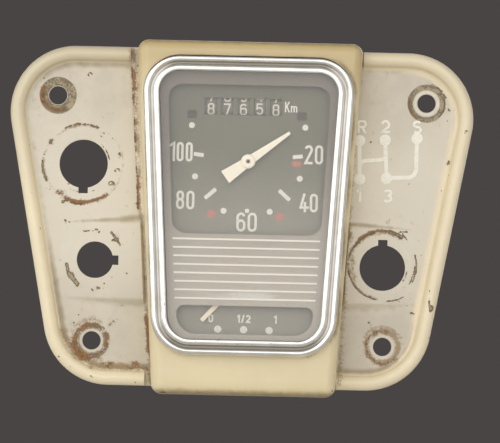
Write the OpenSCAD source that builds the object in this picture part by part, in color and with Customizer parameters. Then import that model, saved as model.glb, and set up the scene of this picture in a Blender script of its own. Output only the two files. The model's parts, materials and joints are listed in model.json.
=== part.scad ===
// Vintage dashboard speedometer with fuel gauge, cream housing and pressed dash panel.
// The front faces -Y and +Z is up. The origin is midway between the two upper screw holes,
// on the back face of the panel. Heights below are measured from the panel's mid height.

/* [Panel] */
// Width at mid height
panel_w = 162.6; // [156:0.1:170]
// Height
panel_h = 128.7; // [126:0.1:132]
// Lean of each side from the vertical, degrees
panel_lean = 10.3; // [9:0.1:11]
// Corner radius of the outline
panel_corner_r = 25; // [22:0.5:28]
// Sheet thickness
sheet_t = 1.2; // [0.9:0.1:1.6]
// Width of the raised rim
rim_w = 5.4; // [4.6:0.1:6]
// Height of the rim above the flat sheet
rim_h = 3.4; // [2.8:0.1:4]
// How far the sloping switch pads stand forward beside the housing
pad_rise = 2.6; // [1:0.1:3]
// Top edge of the switch pads
pad_top_z = -2.7; // [-3.2:0.1:-2.2]
// Bottom edge of the switch pads
pad_bottom_z = -31.4; // [-34:0.1:-29]

/* [Panel holes] */
// Distance between the upper screw holes
upper_span = 140.3; // [136:0.1:144]
// Distance between the lower screw holes
lower_span = 110.7; // [106:0.1:114]
// Height of the upper screw holes
upper_row_z = 45.4; // [43:0.1:47]
// Drop from the upper to the lower screw holes
row_drop = 93; // [90:0.1:95]
// Screw hole diameter
screw_hole_d = 7; // [6:0.1:8]
// Upper switch hole diameter
upper_switch_d = 18.4; // [16:0.1:20]
// Lower left switch hole diameter
left_switch_d = 13.9; // [12:0.1:16]
// Lower right switch hole diameter
right_switch_d = 17.4; // [15:0.1:19]
// Width of the key notches
key_w = 3.6; // [3:0.1:4.2]
// Depth of the key notches
key_depth = 2; // [1.5:0.1:2.4]

/* [Housing] */
// Sideways offset of the instrument from the panel's middle
instrument_x = 2.75; // [1.5:0.05:3.5]
// Width at mid height
housing_w = 77.6; // [77:0.1:80]
// Height
housing_h = 135; // [134:0.1:138]
// Lean of each side from the vertical, degrees
housing_lean = 3.5; // [3.2:0.1:4]
// Corner radius of the outline
housing_corner_r = 4.5; // [4.2:0.1:6]
// Radius rolled over the front edge
housing_roll = 3.2; // [2:0.1:3.6]
// Height of the front face above the panel
housing_depth = 14.8; // [13.5:0.1:17]
// Wall thickness
housing_wall = 2; // [1.6:0.1:2.4]

/* [Instrument] */
// Bezel width at mid height
bezel_w = 74; // [73:0.1:75]
// Bezel height
bezel_h = 113.7; // [112.5:0.1:115]
// Height of the bezel's middle
bezel_mid_z = 4.9; // [4.5:0.1:5.3]
// Lean of each side from the vertical, degrees
bezel_lean = 3.2; // [2.9:0.1:3.5]
// Upper corner radius
bezel_top_r = 14; // [13:0.5:15]
// Lower corner radius
bezel_bottom_r = 15; // [14:0.5:16]
// Width of the bezel ring
bezel_band = 5.6; // [5.2:0.1:6]
// Height of the bezel above the housing
bezel_proud = 4.6; // [4.2:0.1:5.4]
// Lens thickness
lens_t = 2; // [1.8:0.1:2.4]
// Gasket thickness
gasket_t = 1; // [0.8:0.1:1.2]
// Mask thickness
mask_t = 1.2; // [1:0.1:1.5]
// Gap from the mask to the dials
dial_gap = 2.8; // [2.6:0.1:3.4]
// Dial thickness
dial_t = 0.6; // [0.5:0.1:0.8]
// Case wall thickness
case_t = 0.8; // [0.6:0.05:0.9]

/* [Dials] */
// Height of the needle axis
needle_z = 21.75; // [21.5:0.05:22]
// Needle length from axis to tip
needle_len = 19.2; // [17:0.1:21]
// Length of the counterweight tail
tail_len = 10.6; // [9:0.1:12]
// Resting angle of the needle above the horizontal, degrees
needle_rest = 35.7; // [33:0.1:55]
// Height of the odometer drum axis
drum_z = 42.5; // [42.3:0.05:42.8]
// Middle of the drum set, from the instrument's middle
drum_mid_x = -2.2; // [-2.4:0.05:-2]
// Distance between drums
drum_pitch = 6.15; // [6.1:0.01:6.2]
// Drum radius
drum_r = 8; // [7.8:0.05:8.05]
// Height of the fuel needle axis
fuel_z = -21.45; // [-21.8:0.05:-21.2]
// Fuel needle length
fuel_len = 24; // [22.5:0.1:24.5]
// Resting angle of the fuel needle from straight down, degrees
fuel_rest = 43.1; // [38:0.1:46]
// Strip count on the mask
strip_count = 8; // [7:1:8]
// Distance between strips
strip_pitch = 3.21; // [3.1:0.01:3.21]

/* [Mechanism] */
// Worm and wheel tooth half depth
tooth_e = 0.3; // [0.26:0.01:0.32]
// Gap left between worm and wheel
mesh_gap = 0.25; // [0.22:0.01:0.3]
// Radius of the drive worm
drive_worm_r = 2.6; // [2.5:0.05:2.7]
// Radius of the small worms
small_worm_r = 1.8; // [1.7:0.05:1.85]
// Wheel face width
wheel_t = 1.2; // [1:0.1:1.3]
// Speed cup radius
cup_r = 11; // [10.6:0.1:11.4]
// Speed cup depth
cup_depth = 8.2; // [7.6:0.1:8.6]
// Depth behind the frame plate left for the lamps
lamp_room = 11.8; // [11.5:0.1:14]
// Radial running clearance of turning pieces
run_gap = 0.05; // [0.03:0.01:0.08]

/* [Rear fittings] */
// Cable boss thread diameter
boss_d = 12; // [11.4:0.1:12.4]
// Length of the boss behind its nut
boss_len = 8.8; // [8:0.1:12]
// Terminal stud diameter
stud_d = 4; // [3.6:0.1:4.2]
// Length of the terminal studs behind their nuts
stud_len = 7.3; // [6:0.1:9]
// Clamp strap width
strap_w = 11; // [10:0.1:11.4]
// Clamp strap thickness
strap_t = 2; // [1.6:0.1:2.4]

/* [Hidden] */
$fn = 48;
arc_n = 8;
panel_front = -sheet_t;
face_y = panel_front - housing_depth;
lens_back = face_y - 0.2;
lens_front = lens_back - lens_t;
mask_front = lens_back + gasket_t;
mask_back = mask_front + mask_t;
dial_front = mask_back + dial_gap;
dial_back = dial_front + dial_t;
bezel_front = face_y - bezel_proud;
bezel_top = bezel_mid_z + bezel_h / 2;
bezel_bottom = bezel_mid_z - bezel_h / 2;
opening_inset = 2.9;
skirt_inset = 3.3;
case_inset = 4.2;
skirt_gap = 0.1;
mask_gap = 0.1;
case_inner = case_inset + case_t;
dial_inset = 6.5;
rim_r = rim_w / 2;
rim_spring = panel_front - rim_h + rim_r;
rim_gap_left = 2.8;
rim_gap_right = 0.4;
edge_gap = 0.3;
pad_inner = 35;
pad_outer = 68;
switch_x = 54.7;
wheel_n = 20;
odo_wheel_n = 25;
wheel_r = 4;
odo_wheel_r = wheel_r * odo_wheel_n / wheel_n;
thread_pitch = 360 / wheel_n * wheel_r * PI / 180;
worm_len = 2.6 * thread_pitch;
drive_c = drive_worm_r + wheel_r + mesh_gap;
cross_c = small_worm_r + wheel_r + mesh_gap;
odo_c = small_worm_r + odo_wheel_r + mesh_gap;
drum_y = dial_back + 0.3 + drum_r;
riser_y = drum_y + odo_c;
riser_x = 17;
cross_y = riser_y + cross_c;
cross_z = needle_z + drive_c;
shaft_r = 0.8;
plate_front = cross_y + wheel_r + tooth_e + 0.6;
plate_t = 2.5;
plate_back = plate_front + plate_t;
case_back = plate_back + lamp_room;
cover_t = 1.2;
cover_back = case_back + cover_t;
bridge_t = 1.5;
bridge_front = dial_back + 4.1;
bridge_back = bridge_front + bridge_t;
spring_y = bridge_front - 2.3;
cup_front = bridge_back + 0.8;
cup_t = 0.6;
needle_r = 0.6;
drive_r = 1.5;
press_gap = 0.02;
drum_w = 4.2;
drum_gear_n = 20;
pinion_n = 8;
drum_gear_r = 6.6;
pinion_r = drum_gear_r * pinion_n / drum_gear_n;
drum_tooth = 0.35;
pinion_c = drum_gear_r + pinion_r + mesh_gap;
pinion_y = drum_y + pinion_c * cos(45);
pinion_z = drum_z + pinion_c * sin(45);
axle_r = 1;
bracket_x = 20.2;
bracket_t = 1.5;
nut_t = 4;
boss_r = boss_d / 2;
stud_r = stud_d / 2;
end_step = 0.2;
stud_x = 9;
stud_z = -29.5;
strap_z = 5.6;
strap_y = cover_back + 4;
clamp_x = 20;
clamp_r = 2;
fuel_front = dial_back + 3.6;
fuel_plate_t = 1.2;
fuel_rear = fuel_front + 16;
fuel_back = fuel_rear + 1.4;
lamp_at = [[-24, 38], [24, 38], [0, -9]];
pillar_at = [[-15, 18.75], [15, 18.75]];
post_at = [[-25, 30], [25, 30]];
frame_screw_at = [[-20, 18], [20, 18], [0, 49]];
housing_screw_at = [[-36.8, 61], [36.8, 61], [-26, -60], [26, -60]];

// Points of an arc about [cx, cz], from angle a0 to a1.
function arc(cx, cz, r, a0, a1) =
    [for (i = [0:arc_n]) let (a = a0 + (a1 - a0) * i / arc_n) [cx + r * cos(a), cz + r * sin(a)]];

// Middle of a corner arc where a leaning side meets a level edge at height z.
function corner_at(half, lean, z, r) = [half - r / cos(lean) + z * tan(lean), z];

// Outline of a trapezoid with rounded corners, moved inwards by d.
function trapezoid(half, lean, top, bottom, rt, rb, d) =
    let (t = corner_at(half, lean, top - rt, rt), b = corner_at(half, lean, bottom + rb, rb))
    concat(
        arc(t[0], t[1], rt - d, -lean, 90),
        arc(-t[0], t[1], rt - d, 90, 180 + lean),
        arc(-b[0], b[1], rb - d, 180 + lean, 270),
        arc(b[0], b[1], rb - d, 270, 360 - lean));

// Outline of the instrument, moved inwards by d from the bezel's outer edge.
function face_outline(d) =
    trapezoid(bezel_w / 2, bezel_lean, bezel_top, bezel_bottom, bezel_top_r, bezel_bottom_r, d);

function housing_outline(d) =
    trapezoid(housing_w / 2, housing_lean, housing_h / 2, -housing_h / 2, housing_corner_r, housing_corner_r, d);

function panel_outline(d) =
    trapezoid(panel_w / 2, panel_lean, panel_h / 2, -panel_h / 2, panel_corner_r, panel_corner_r, d);

// Half width of the housing at height z.
function housing_half(z) = housing_w / 2 + z * tan(housing_lean);

// Lifts an [x, z] outline to depth y.
function at_y(outline, y) = [for (p = outline) [p[0], y, p[1]]];

// Outline of a wheel with rounded teeth.
function wheel_outline(r, e, n, phase) =
    [for (i = [0:n * 6 - 1]) let (a = 60 * i / n, q = r + e * cos(n * a + phase)) [q * cos(a), q * sin(a)]];

// Pair of triangles for the patch between loops i and k of n points, at point j.
function patch(i, k, j, n) =
    let (a = i * n + j, b = i * n + (j + 1) % n, c = k * n + (j + 1) % n, d = k * n + j)
    [[a, c, b], [a, d, c]];

module on_panel() {
    translate([0, 0, -upper_row_z]) children();
}

module on_axis() {
    translate([instrument_x, 0, -upper_row_z]) children();
}

// Extrudes an outline drawn in x and z from depth y0 to y1.
module along_y(y0, y1) {
    translate([0, y1, 0]) rotate([90, 0, 0]) linear_extrude(height = y1 - y0) children();
}

module rod_y(x, z, r, y0, y1) {
    translate([x, y1, z]) rotate([90, 0, 0]) cylinder(r = r, h = y1 - y0);
}

module rod_x(y, z, r, x0, x1) {
    translate([x0, y, z]) rotate([0, 90, 0]) cylinder(r = r, h = x1 - x0);
}

module rod_z(x, y, r, z0, z1) {
    translate([x, y, z0]) cylinder(r = r, h = z1 - z0);
}

module box(x0, x1, y0, y1, z0, z1) {
    translate([x0, y0, z0]) cube([x1 - x0, y1 - y0, z1 - z0]);
}

module hex_y(x, z, r, y0, y1) {
    translate([x, y1, z]) rotate([90, 0, 0]) cylinder(r = r, h = y1 - y0, $fn = 6);
}

// Screw along y with its head at the back and its tip at the front.
module rear_screw(x, z, head_r, head_t, shank_r, seat, len) {
    rod_y(x, z, head_r, seat, seat + head_t);
    rod_y(x, z, shank_r, seat - len, seat + head_t / 2);
}

// Closed ring through a list of equal loops, the last joined to the first.
module ring(loops) {
    n = len(loops[0]);
    m = len(loops);
    polyhedron(points = [for (l = loops) each l],
        faces = [for (i = [0:m - 1]) for (j = [0:n - 1]) each patch(i, (i + 1) % m, j, n)]);
}

// Solid through a list of equal convex loops, closed at both ends.
module stack(loops) {
    n = len(loops[0]);
    m = len(loops);
    polyhedron(points = [for (l = loops) each l],
        faces = concat(
            [for (i = [0:m - 2]) for (j = [0:n - 1]) each patch(i, i + 1, j, n)],
            [for (j = [1:n - 2]) [0, j, j + 1]],
            [for (j = [1:n - 2]) [(m - 1) * n, (m - 1) * n + j + 1, (m - 1) * n + j]]));
}

// Path of the rim round one wing, moved inwards by d, from the top edge to the bottom edge.
function rim_path(top_x, bottom_x, d) =
    let (
        t = corner_at(panel_w / 2, panel_lean, panel_h / 2 - panel_corner_r, panel_corner_r),
        b = corner_at(panel_w / 2, panel_lean, panel_corner_r - panel_h / 2, panel_corner_r))
    concat(
        [[top_x, panel_h / 2 - d]],
        arc(t[0], t[1], panel_corner_r - d, 90, -panel_lean),
        arc(b[0], b[1], panel_corner_r - d, -panel_lean, -90),
        [[bottom_x, d - panel_h / 2]]);

// Half of the rim's pressed section as [inset, depth] points, at radius r about its crown.
function rim_arch(r) = concat(
    [[rim_r - r, 0]],
    [for (a = [180:-22.5:0]) [rim_r + r * cos(a), rim_spring - r * sin(a)]],
    [[rim_r + r, 0]]);

module rim(top_x, bottom_x) {
    outer = rim_arch(rim_r);
    inner = rim_arch(rim_r - sheet_t);
    k = len(outer);
    section = concat(outer, [for (i = [k - 1:-1:0]) inner[i]]);
    n = 2 * k;
    paths = [for (p = section) rim_path(top_x, bottom_x, p[0])];
    m = len(paths[0]);
    last = (m - 1) * n;
    polyhedron(
        points = [for (j = [0:m - 1]) for (i = [0:n - 1]) [paths[i][j][0], section[i][1], paths[i][j][1]]],
        faces = concat(
            [for (i = [0:m - 2]) for (j = [0:n - 1]) each patch(i, i + 1, j, n)],
            [for (i = [0:k - 2]) each [[i, n - 2 - i, n - 1 - i], [i, i + 1, n - 2 - i]]],
            [for (i = [0:k - 2]) each [
                [last + i, last + n - 1 - i, last + n - 2 - i],
                [last + i, last + n - 2 - i, last + i + 1]]]));
}

// Round hole with a key notch pointing at angle a.
module keyed_hole(x, z, d, a) {
    along_y(-9, 9) translate([x, z]) circle(d = d);
    along_y(-9, 9) translate([x, z]) rotate(a) translate([0, -key_w / 2]) square([d / 2 + key_depth, key_w]);
}

// Wedge that rises to the front from nothing at its outer end, with 45 degree flanks.
module pad_wedge(y) {
    crest = y - pad_rise;
    polyhedron(
        points = [
            [pad_outer, y, pad_top_z], [pad_outer, y, pad_bottom_z],
            [pad_inner, y, pad_bottom_z - pad_rise], [pad_inner, y, pad_top_z + pad_rise],
            [pad_inner, crest, pad_top_z], [pad_inner, crest, pad_bottom_z]],
        faces = [[0, 3, 2, 1], [4, 0, 1, 5], [0, 4, 3], [5, 1, 2], [3, 4, 5, 2]]);
}

// Right-hand switch pad, cut off at a gap from a housing wall that stands off from the panel's middle.
module switch_pad(y, off, gap) {
    top = pad_top_z + 2 * pad_rise;
    bottom = pad_bottom_z - 2 * pad_rise;
    intersection() {
        pad_wedge(y);
        along_y(y - 2 * pad_rise, y) polygon([
            [housing_half(top) + off + gap, top], [pad_outer, top],
            [pad_outer, bottom], [housing_half(bottom) + off + gap, bottom]]);
    }
}

module dash_panel() {
    top_left = housing_half(panel_h / 2) + rim_gap_left - instrument_x;
    low_left = housing_half(-panel_h / 2) + rim_gap_left - instrument_x;
    top_right = housing_half(panel_h / 2) + rim_gap_right + instrument_x;
    low_right = housing_half(-panel_h / 2) + rim_gap_right + instrument_x;
    web = panel_h / 2;
    lap = sheet_t;
    color("Wheat") on_panel() difference() {
        union() {
            along_y(panel_front, 0) polygon(panel_outline(rim_w - sheet_t / 2));
            along_y(panel_front, 0) polygon([
                [-top_left - lap, web], [top_right + lap, web],
                [low_right + lap, -web], [-low_left - lap, -web]]);
            rim(top_right, low_right);
            mirror([1, 0, 0]) rim(top_left, low_left);
            switch_pad(panel_front, instrument_x, rim_gap_right);
            mirror([1, 0, 0]) switch_pad(panel_front, -instrument_x, rim_gap_left / 2);
        }
        switch_pad(0, instrument_x, rim_gap_right + sheet_t);
        mirror([1, 0, 0]) switch_pad(0, -instrument_x, rim_gap_left / 2 + sheet_t);
        translate([instrument_x, 0, 0]) along_y(-9, 9) polygon(face_outline(opening_inset));
        for (s = [-1, 1]) {
            rod_y(s * upper_span / 2, upper_row_z, screw_hole_d / 2, -9, 9);
            rod_y(s * lower_span / 2, upper_row_z - row_drop, screw_hole_d / 2, -9, 9);
        }
        for (p = housing_screw_at) rod_y(p[0] + instrument_x, p[1], 1.9, -9, 9);
        keyed_hole(-59.85, 19.55, upper_switch_d, -90);
        keyed_hole(-switch_x, -16.85, left_switch_d, 0);
        keyed_hole(switch_x, -17.55, right_switch_d, 90);
    }
}

module housing() {
    web = panel_h / 2 + edge_gap;
    roll = [for (a = [0:22.5:90]) [housing_roll * (1 - sin(90 - a)), face_y + housing_roll * (1 - sin(a))]];
    color("PaleGoldenrod") on_axis() difference() {
        union() {
            difference() {
                stack(concat([at_y(housing_outline(0), 1)], [for (p = roll) at_y(housing_outline(p[0]), p[1])]));
                along_y(face_y + housing_wall, 2) polygon(housing_outline(housing_wall));
                along_y(face_y - 1, 2) polygon(face_outline(opening_inset));
                box(-90, 90, panel_front, 2, -web, web);
            }
            for (p = housing_screw_at) rod_y(p[0], p[1], 3.3, face_y + housing_wall / 2, panel_front);
        }
        for (p = housing_screw_at) rod_y(p[0], p[1], 1.45, face_y + 4.5, 1);
    }
}

module housing_screws() {
    color("Gray") on_axis() for (p = housing_screw_at) rear_screw(p[0], p[1], 3.2, 2.2, 1.4, 0, 9.5);
}

// Front section of the bezel as [inset, depth] points: wide outer bead, groove, narrow inner bead.
function bead_section() = concat(
    [for (a = [180:-22.5:20]) [1.7 + 1.7 * cos(a), bezel_front + 2.2 - 2.2 * sin(a)]],
    [[3.6, bezel_front + 1.1]],
    [for (a = [160:-35:20]) [bezel_band - 1 + cos(a), bezel_front + 1.2 - sin(a)]],
    [[bezel_band, bezel_front + 1.4]]);

module bezel() {
    section = concat(
        [[0.4, face_y], [0, face_y - 0.5]],
        bead_section(),
        [[bezel_band, lens_front], [case_inset - skirt_gap, lens_front]],
        [[case_inset - skirt_gap, face_y + 5], [skirt_inset, face_y + 5], [skirt_inset, face_y]]);
    color("Gainsboro") on_axis() ring([for (p = section) at_y(face_outline(p[0]), p[1])]);
}

module lens() {
    color("LightCyan", 0.3) on_axis() along_y(lens_front, lens_back) polygon(face_outline(case_inset));
}

module lens_gasket() {
    color("Black") on_axis() along_y(lens_back, mask_front) difference() {
        polygon(face_outline(case_inset));
        polygon(face_outline(bezel_band + 0.2));
    }
}

module mask() {
    color("Gray") on_axis() along_y(mask_front, mask_back) difference() {
        polygon(face_outline(case_inner + mask_gap));
        polygon(trapezoid(28.45, 2.86, 50.65, -5.95, 5.5, 5.5, 0));
        polygon(trapezoid(27.8, 3, -33.05, -43.95, 3, 7.5, 0));
    }
}

module mask_strips() {
    color("Ivory") on_axis() for (i = [0:strip_count - 1]) {
        z = -7.95 - i * strip_pitch;
        half = 28.4 + z * tan(bezel_lean);
        box(-half, half, mask_front - 0.3, mask_front, z - 0.35, z + 0.35);
    }
}

module speed_dial() {
    color("DarkSeaGreen") on_axis() along_y(dial_front, dial_back) difference() {
        intersection() {
            polygon(face_outline(dial_inset));
            translate([-50, -8.5]) square([100, 100]);
        }
        translate([0, needle_z]) circle(r = 1.6);
        translate([drum_mid_x - 15.2, drum_z - 3.2]) square([30.2, 6.3]);
        for (x = [-21.6, 20]) translate([x - 1.8, 37.7]) square([3.6, 3.1]);
    }
}

module fuel_dial() {
    color("DarkSeaGreen") on_axis() along_y(dial_front, dial_back) difference() {
        intersection() {
            polygon(face_outline(dial_inset));
            translate([-50, -109]) square([100, 100]);
        }
        translate([0, fuel_z]) circle(r = 1.6);
    }
}

module warning_filters() {
    color("DarkRed") on_axis() for (x = [-21.6, 20])
        box(x - 2.4, x + 2.4, dial_back, dial_back + 0.8, 36.8, 41.7);
}

// Places of the case screws, near the corners of the case.
function case_screw_at() =
    let (
        t = corner_at(bezel_w / 2, bezel_lean, bezel_top - bezel_top_r, bezel_top_r),
        b = corner_at(bezel_w / 2, bezel_lean, bezel_bottom + bezel_bottom_r, bezel_bottom_r),
        u = (bezel_top_r - case_inner - 2.4) * cos(45),
        v = (bezel_bottom_r - case_inner - 2.4) * cos(45))
    [[t[0] + u, t[1] + u], [-t[0] - u, t[1] + u], [b[0] + v, b[1] - v], [-b[0] - v, b[1] - v]];

module case_shell() {
    color("SlateGray") on_axis() difference() {
        union() {
            along_y(mask_front, case_back) difference() {
                polygon(face_outline(case_inset));
                polygon(face_outline(case_inner));
            }
            along_y(mask_back, mask_back + 0.8) difference() {
                polygon(face_outline(case_inset + 0.2));
                polygon(face_outline(case_inner + 1.2));
            }
            for (p = case_screw_at()) rod_y(p[0], p[1], 2.8, case_back - 11, case_back);
        }
        for (p = case_screw_at()) rod_y(p[0], p[1], 1.3, case_back - 9, case_back + 1);
    }
}

module case_cover() {
    color("SlateGray") on_axis() difference() {
        along_y(case_back, cover_back) polygon(face_outline(case_inset - 0.6));
        rod_y(0, needle_z, boss_r + 0.1, case_back - 1, cover_back + 1);
        for (p = case_screw_at()) rod_y(p[0], p[1], 1.6, case_back - 1, cover_back + 1);
        for (p = frame_screw_at) rod_y(p[0], p[1], 1.6, case_back - 1, cover_back + 1);
        for (p = lamp_at) rod_y(p[0], p[1], 5.2, case_back - 1, cover_back + 1);
        for (s = [-1, 1]) {
            rod_y(s * stud_x, stud_z, stud_r + 1.2, case_back - 1, cover_back + 1);
            rod_y(s * clamp_x, strap_z, clamp_r + 0.05, case_back - 1, cover_back + 1);
        }
    }
}

// Screws that hold the cover to the case and to the mechanism frame.
module case_screws() {
    color("Silver") on_axis() for (p = concat(case_screw_at(), frame_screw_at))
        rear_screw(p[0], p[1], 2.6, 1.8, 1.25, cover_back, 7.5);
}

module mechanism_frame() {
    arm = 2;
    color("LightGray") on_axis() difference() {
        union() {
            box(-27.5, 27.5, plate_front, plate_back, 13.5, 52);
            for (p = pillar_at) rod_y(p[0], p[1], 2, bridge_back, plate_front + 0.5);
            for (p = post_at) rod_y(p[0], p[1], 1.5, dial_back, plate_front + 0.5);
            for (p = frame_screw_at) rod_y(p[0], p[1], 3, plate_back - 0.5, case_back);
            for (x = [-bracket_x, bracket_x + bracket_t])
                box(x - bracket_t, x, drum_y - arm, plate_front + 0.5, drum_z - arm, drum_z + arm);
            box(-bracket_x - bracket_t, -bracket_x, pinion_y - arm, plate_front + 0.5,
                drum_z, pinion_z + arm);
            box(13.2, 14.4, pinion_y - arm, plate_front + 0.5, pinion_z - arm, pinion_z + arm);
            box(riser_x - arm, riser_x + arm, riser_y - arm, plate_front + 0.5, 23.4, 25.2);
            box(riser_x - arm, riser_x + arm, riser_y - arm, plate_front + 0.5, 46.9, 48.5);
            box(-6, -4.5, cross_y - arm, plate_front + 0.5, cross_z - arm, cross_z + arm);
            box(20.5, 22, cross_y - arm, plate_front + 0.5, cross_z - arm, cross_z + arm);
        }
        rod_y(0, needle_z, 4.05, plate_front - 1, plate_back + 1);
        for (p = pillar_at) rod_y(p[0], p[1], 0.95, bridge_back - 1, bridge_back + 7);
        for (p = frame_screw_at) rod_y(p[0], p[1], 1.3, case_back - 7, case_back + 1);
        rod_x(drum_y, drum_z, axle_r + press_gap, -30, 30);
        rod_x(pinion_y, pinion_z, shaft_r + press_gap, -30, 30);
        rod_x(cross_y, cross_z, shaft_r + run_gap, -30, 30);
        rod_z(riser_x, riser_y, shaft_r + run_gap, 23, 49);
    }
}

module cable_boss() {
    end = cover_back + nut_t + boss_len;
    color("Goldenrod") on_axis() difference() {
        union() {
            rod_y(0, needle_z, 4, plate_front, plate_back + 0.5);
            rod_y(0, needle_z, 8, plate_back, plate_back + 2);
            rod_y(0, needle_z, boss_r, plate_back + 1, end - boss_len);
            rod_y(0, needle_z, boss_r - end_step, plate_back + 1, end);
        }
        rod_y(0, needle_z, drive_r + run_gap, plate_front - 1, end + 1);
        rod_y(0, needle_z, 3.2, end - 8, end + 1);
    }
}

module boss_nut() {
    color("Goldenrod") on_axis() difference() {
        hex_y(0, needle_z, 9.2, cover_back, cover_back + nut_t);
        rod_y(0, needle_z, boss_r + press_gap, cover_back - 1, cover_back + nut_t + 1);
    }
}

module bridge() {
    color("LightGray") on_axis() difference() {
        union() {
            box(-19, 19, bridge_front, bridge_back, 16.2, 26.2);
            rod_y(8.2, needle_z, 0.6, bridge_front - 3, bridge_front + 0.5);
            rod_y(-8, needle_z, 0.5, bridge_back - 0.5, bridge_back + 0.55);
        }
        rod_y(0, needle_z, 2, bridge_front - 1, bridge_back + 1);
        for (p = pillar_at) rod_y(p[0], p[1], 1.1, bridge_front - 1, bridge_back + 1);
    }
}

module bridge_screws() {
    color("Silver") on_axis() for (p = pillar_at) {
        rod_y(p[0], p[1], 1.9, bridge_front - 1, bridge_front);
        rod_y(p[0], p[1], 0.9, bridge_front - 0.5, bridge_back + 6);
    }
}

module front_bush() {
    color("Goldenrod") on_axis() difference() {
        rod_y(0, needle_z, 2 - press_gap, bridge_front, bridge_back);
        rod_y(0, needle_z, needle_r + run_gap, bridge_front - 1, bridge_back + 1);
    }
}

// Flat spiral, clamped at its outer end by the post on the bridge.
module hairspring() {
    turns = 3;
    steps = 24 * turns;
    coil = [for (i = [0:steps]) let (a = 360 * turns * i / steps) [2 + 5.4 * i / steps, a]];
    color("Goldenrod") on_axis() translate([0, 0, needle_z]) along_y(spring_y - 0.4, spring_y + 0.4) polygon(concat(
        [for (p = coil) [p[0] * cos(p[1]), p[0] * sin(p[1])]],
        [for (i = [steps:-1:0]) let (p = coil[i]) [(p[0] + 0.18) * cos(p[1]), (p[0] + 0.18) * sin(p[1])]]));
}

module needle_spindle() {
    color("Silver") on_axis() {
        rod_y(0, needle_z, needle_r, dial_front - 2.6, cup_front + 4.8);
        rod_y(0, needle_z, 1.75, spring_y - 0.7, spring_y + 0.7);
    }
}

module speed_needle() {
    back = dial_front - 1.4;
    color("Ivory") on_axis() translate([0, 0, needle_z]) difference() {
        union() {
            along_y(back - 0.6, back) rotate(needle_rest) polygon([
                [0, 1.8], [-tail_len, 2.75], [-tail_len, -2.75], [0, -1.8],
                [needle_len, -0.6], [needle_len, 0.6]]);
            rod_y(0, 0, 2.7, back - 1, back + 0.5);
        }
        rod_y(0, 0, needle_r + press_gap, back - 2, back + 2);
    }
}

module speed_cup() {
    color("LightGray") on_axis() translate([0, 0, needle_z]) difference() {
        union() {
            rod_y(0, 0, cup_r, cup_front, cup_front + cup_depth);
            rotate([0, 8.5, 0]) rod_y(-8, 0, 0.5, cup_front - 0.45, cup_front + 0.3);
        }
        rod_y(0, 0, cup_r - cup_t, cup_front + cup_t, cup_front + cup_depth + 1);
        rod_y(0, 0, needle_r + press_gap, cup_front - 1, cup_front + 2);
    }
}

module drive_spindle() {
    end = cover_back + nut_t + boss_len;
    front = cup_front + 2;
    color("Silver") on_axis() translate([0, 0, needle_z]) difference() {
        union() {
            rod_y(0, 0, drive_r, front, end - 5);
            rod_y(0, 0, 2.6, end - 7.7, end - 2);
        }
        rod_y(0, 0, needle_r + run_gap, front - 1, front + 3.2);
        box(-1.35, 1.35, end - 6.5, end, -1.35, 1.35);
    }
}

module magnet() {
    front = cup_front + 2.6;
    color("DimGray") on_axis() difference() {
        rod_y(0, needle_z, cup_r - cup_t - 0.8, front, front + 5);
        rod_y(0, needle_z, drive_r + press_gap, front - 1, front + 6);
    }
}

// Single-start worm along z, centred, with its thread crest at angle a in the mid plane.
// hand is 1 for a right-hand and -1 for a left-hand thread.
module worm(r, bore, a, hand = 1) {
    turns = hand * worm_len / thread_pitch;
    difference() {
        rotate(a - 180 * turns) translate([0, 0, -worm_len / 2])
            linear_extrude(height = worm_len, twist = -360 * turns, slices = 32, $fn = 14)
                translate([tooth_e, 0]) circle(r = r);
        translate([0, 0, -worm_len]) cylinder(r = bore, h = 2 * worm_len);
    }
}

// Wheel with its axis along z, centred, with a tooth gap at angle a.
module wheel(r, n, bore, a) {
    difference() {
        rotate(a) translate([0, 0, -wheel_t / 2])
            linear_extrude(height = wheel_t) polygon(wheel_outline(r, tooth_e, n, 180));
        translate([0, 0, -wheel_t]) cylinder(r = bore, h = 2 * wheel_t);
    }
}

module drive_worm() {
    color("Gold") on_axis() translate([0, cross_y, needle_z]) rotate([-90, 0, 0])
        worm(drive_worm_r, drive_r + press_gap, -90);
}

module cross_shaft() {
    color("Silver") on_axis() rod_x(cross_y, cross_z, shaft_r, -6.5, 22.5);
}

module cross_wheel() {
    color("Gold") on_axis() translate([0, cross_y, cross_z]) rotate([0, 90, 0])
        wheel(wheel_r, wheel_n, shaft_r + press_gap, 0);
}

module cross_worm() {
    color("Gold") on_axis() translate([riser_x, cross_y, cross_z]) rotate([0, 90, 0])
        worm(small_worm_r, shaft_r + press_gap, -90);
}

module riser_shaft() {
    color("Silver") on_axis() rod_z(riser_x, riser_y, shaft_r, 23, 49);
}

module riser_wheel() {
    color("Gold") on_axis() translate([riser_x, riser_y, cross_z])
        wheel(wheel_r, wheel_n, shaft_r + press_gap, 90);
}

module riser_worm() {
    color("Gold") on_axis() translate([riser_x, riser_y, drum_z])
        worm(small_worm_r, shaft_r + press_gap, -90, -1);
}

// Axle riveted over at both ends.
module odometer_axle() {
    seat = bracket_x + bracket_t;
    color("Silver") on_axis() {
        rod_x(drum_y, drum_z, axle_r, -seat - 0.3, seat + 0.3);
        for (s = [-1, 1]) rod_x(drum_y, drum_z, 2.1, s * (seat + 0.4) - 0.4, s * (seat + 0.4) + 0.4);
    }
}

// Middle of drum i, counted from the right.
function drum_x(i) = drum_mid_x + (2 - i) * drum_pitch;

module odometer_wheel() {
    face = drum_x(0) + drum_w / 2;
    color("Gold") on_axis() difference() {
        union() {
            rod_x(drum_y, drum_z, 2.4, face, riser_x);
            translate([riser_x, drum_y, drum_z]) rotate([0, 90, 0]) wheel(odo_wheel_r, odo_wheel_n, 0.5, 90);
        }
        rod_x(drum_y, drum_z, axle_r + run_gap, -30, 30);
    }
}

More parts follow.
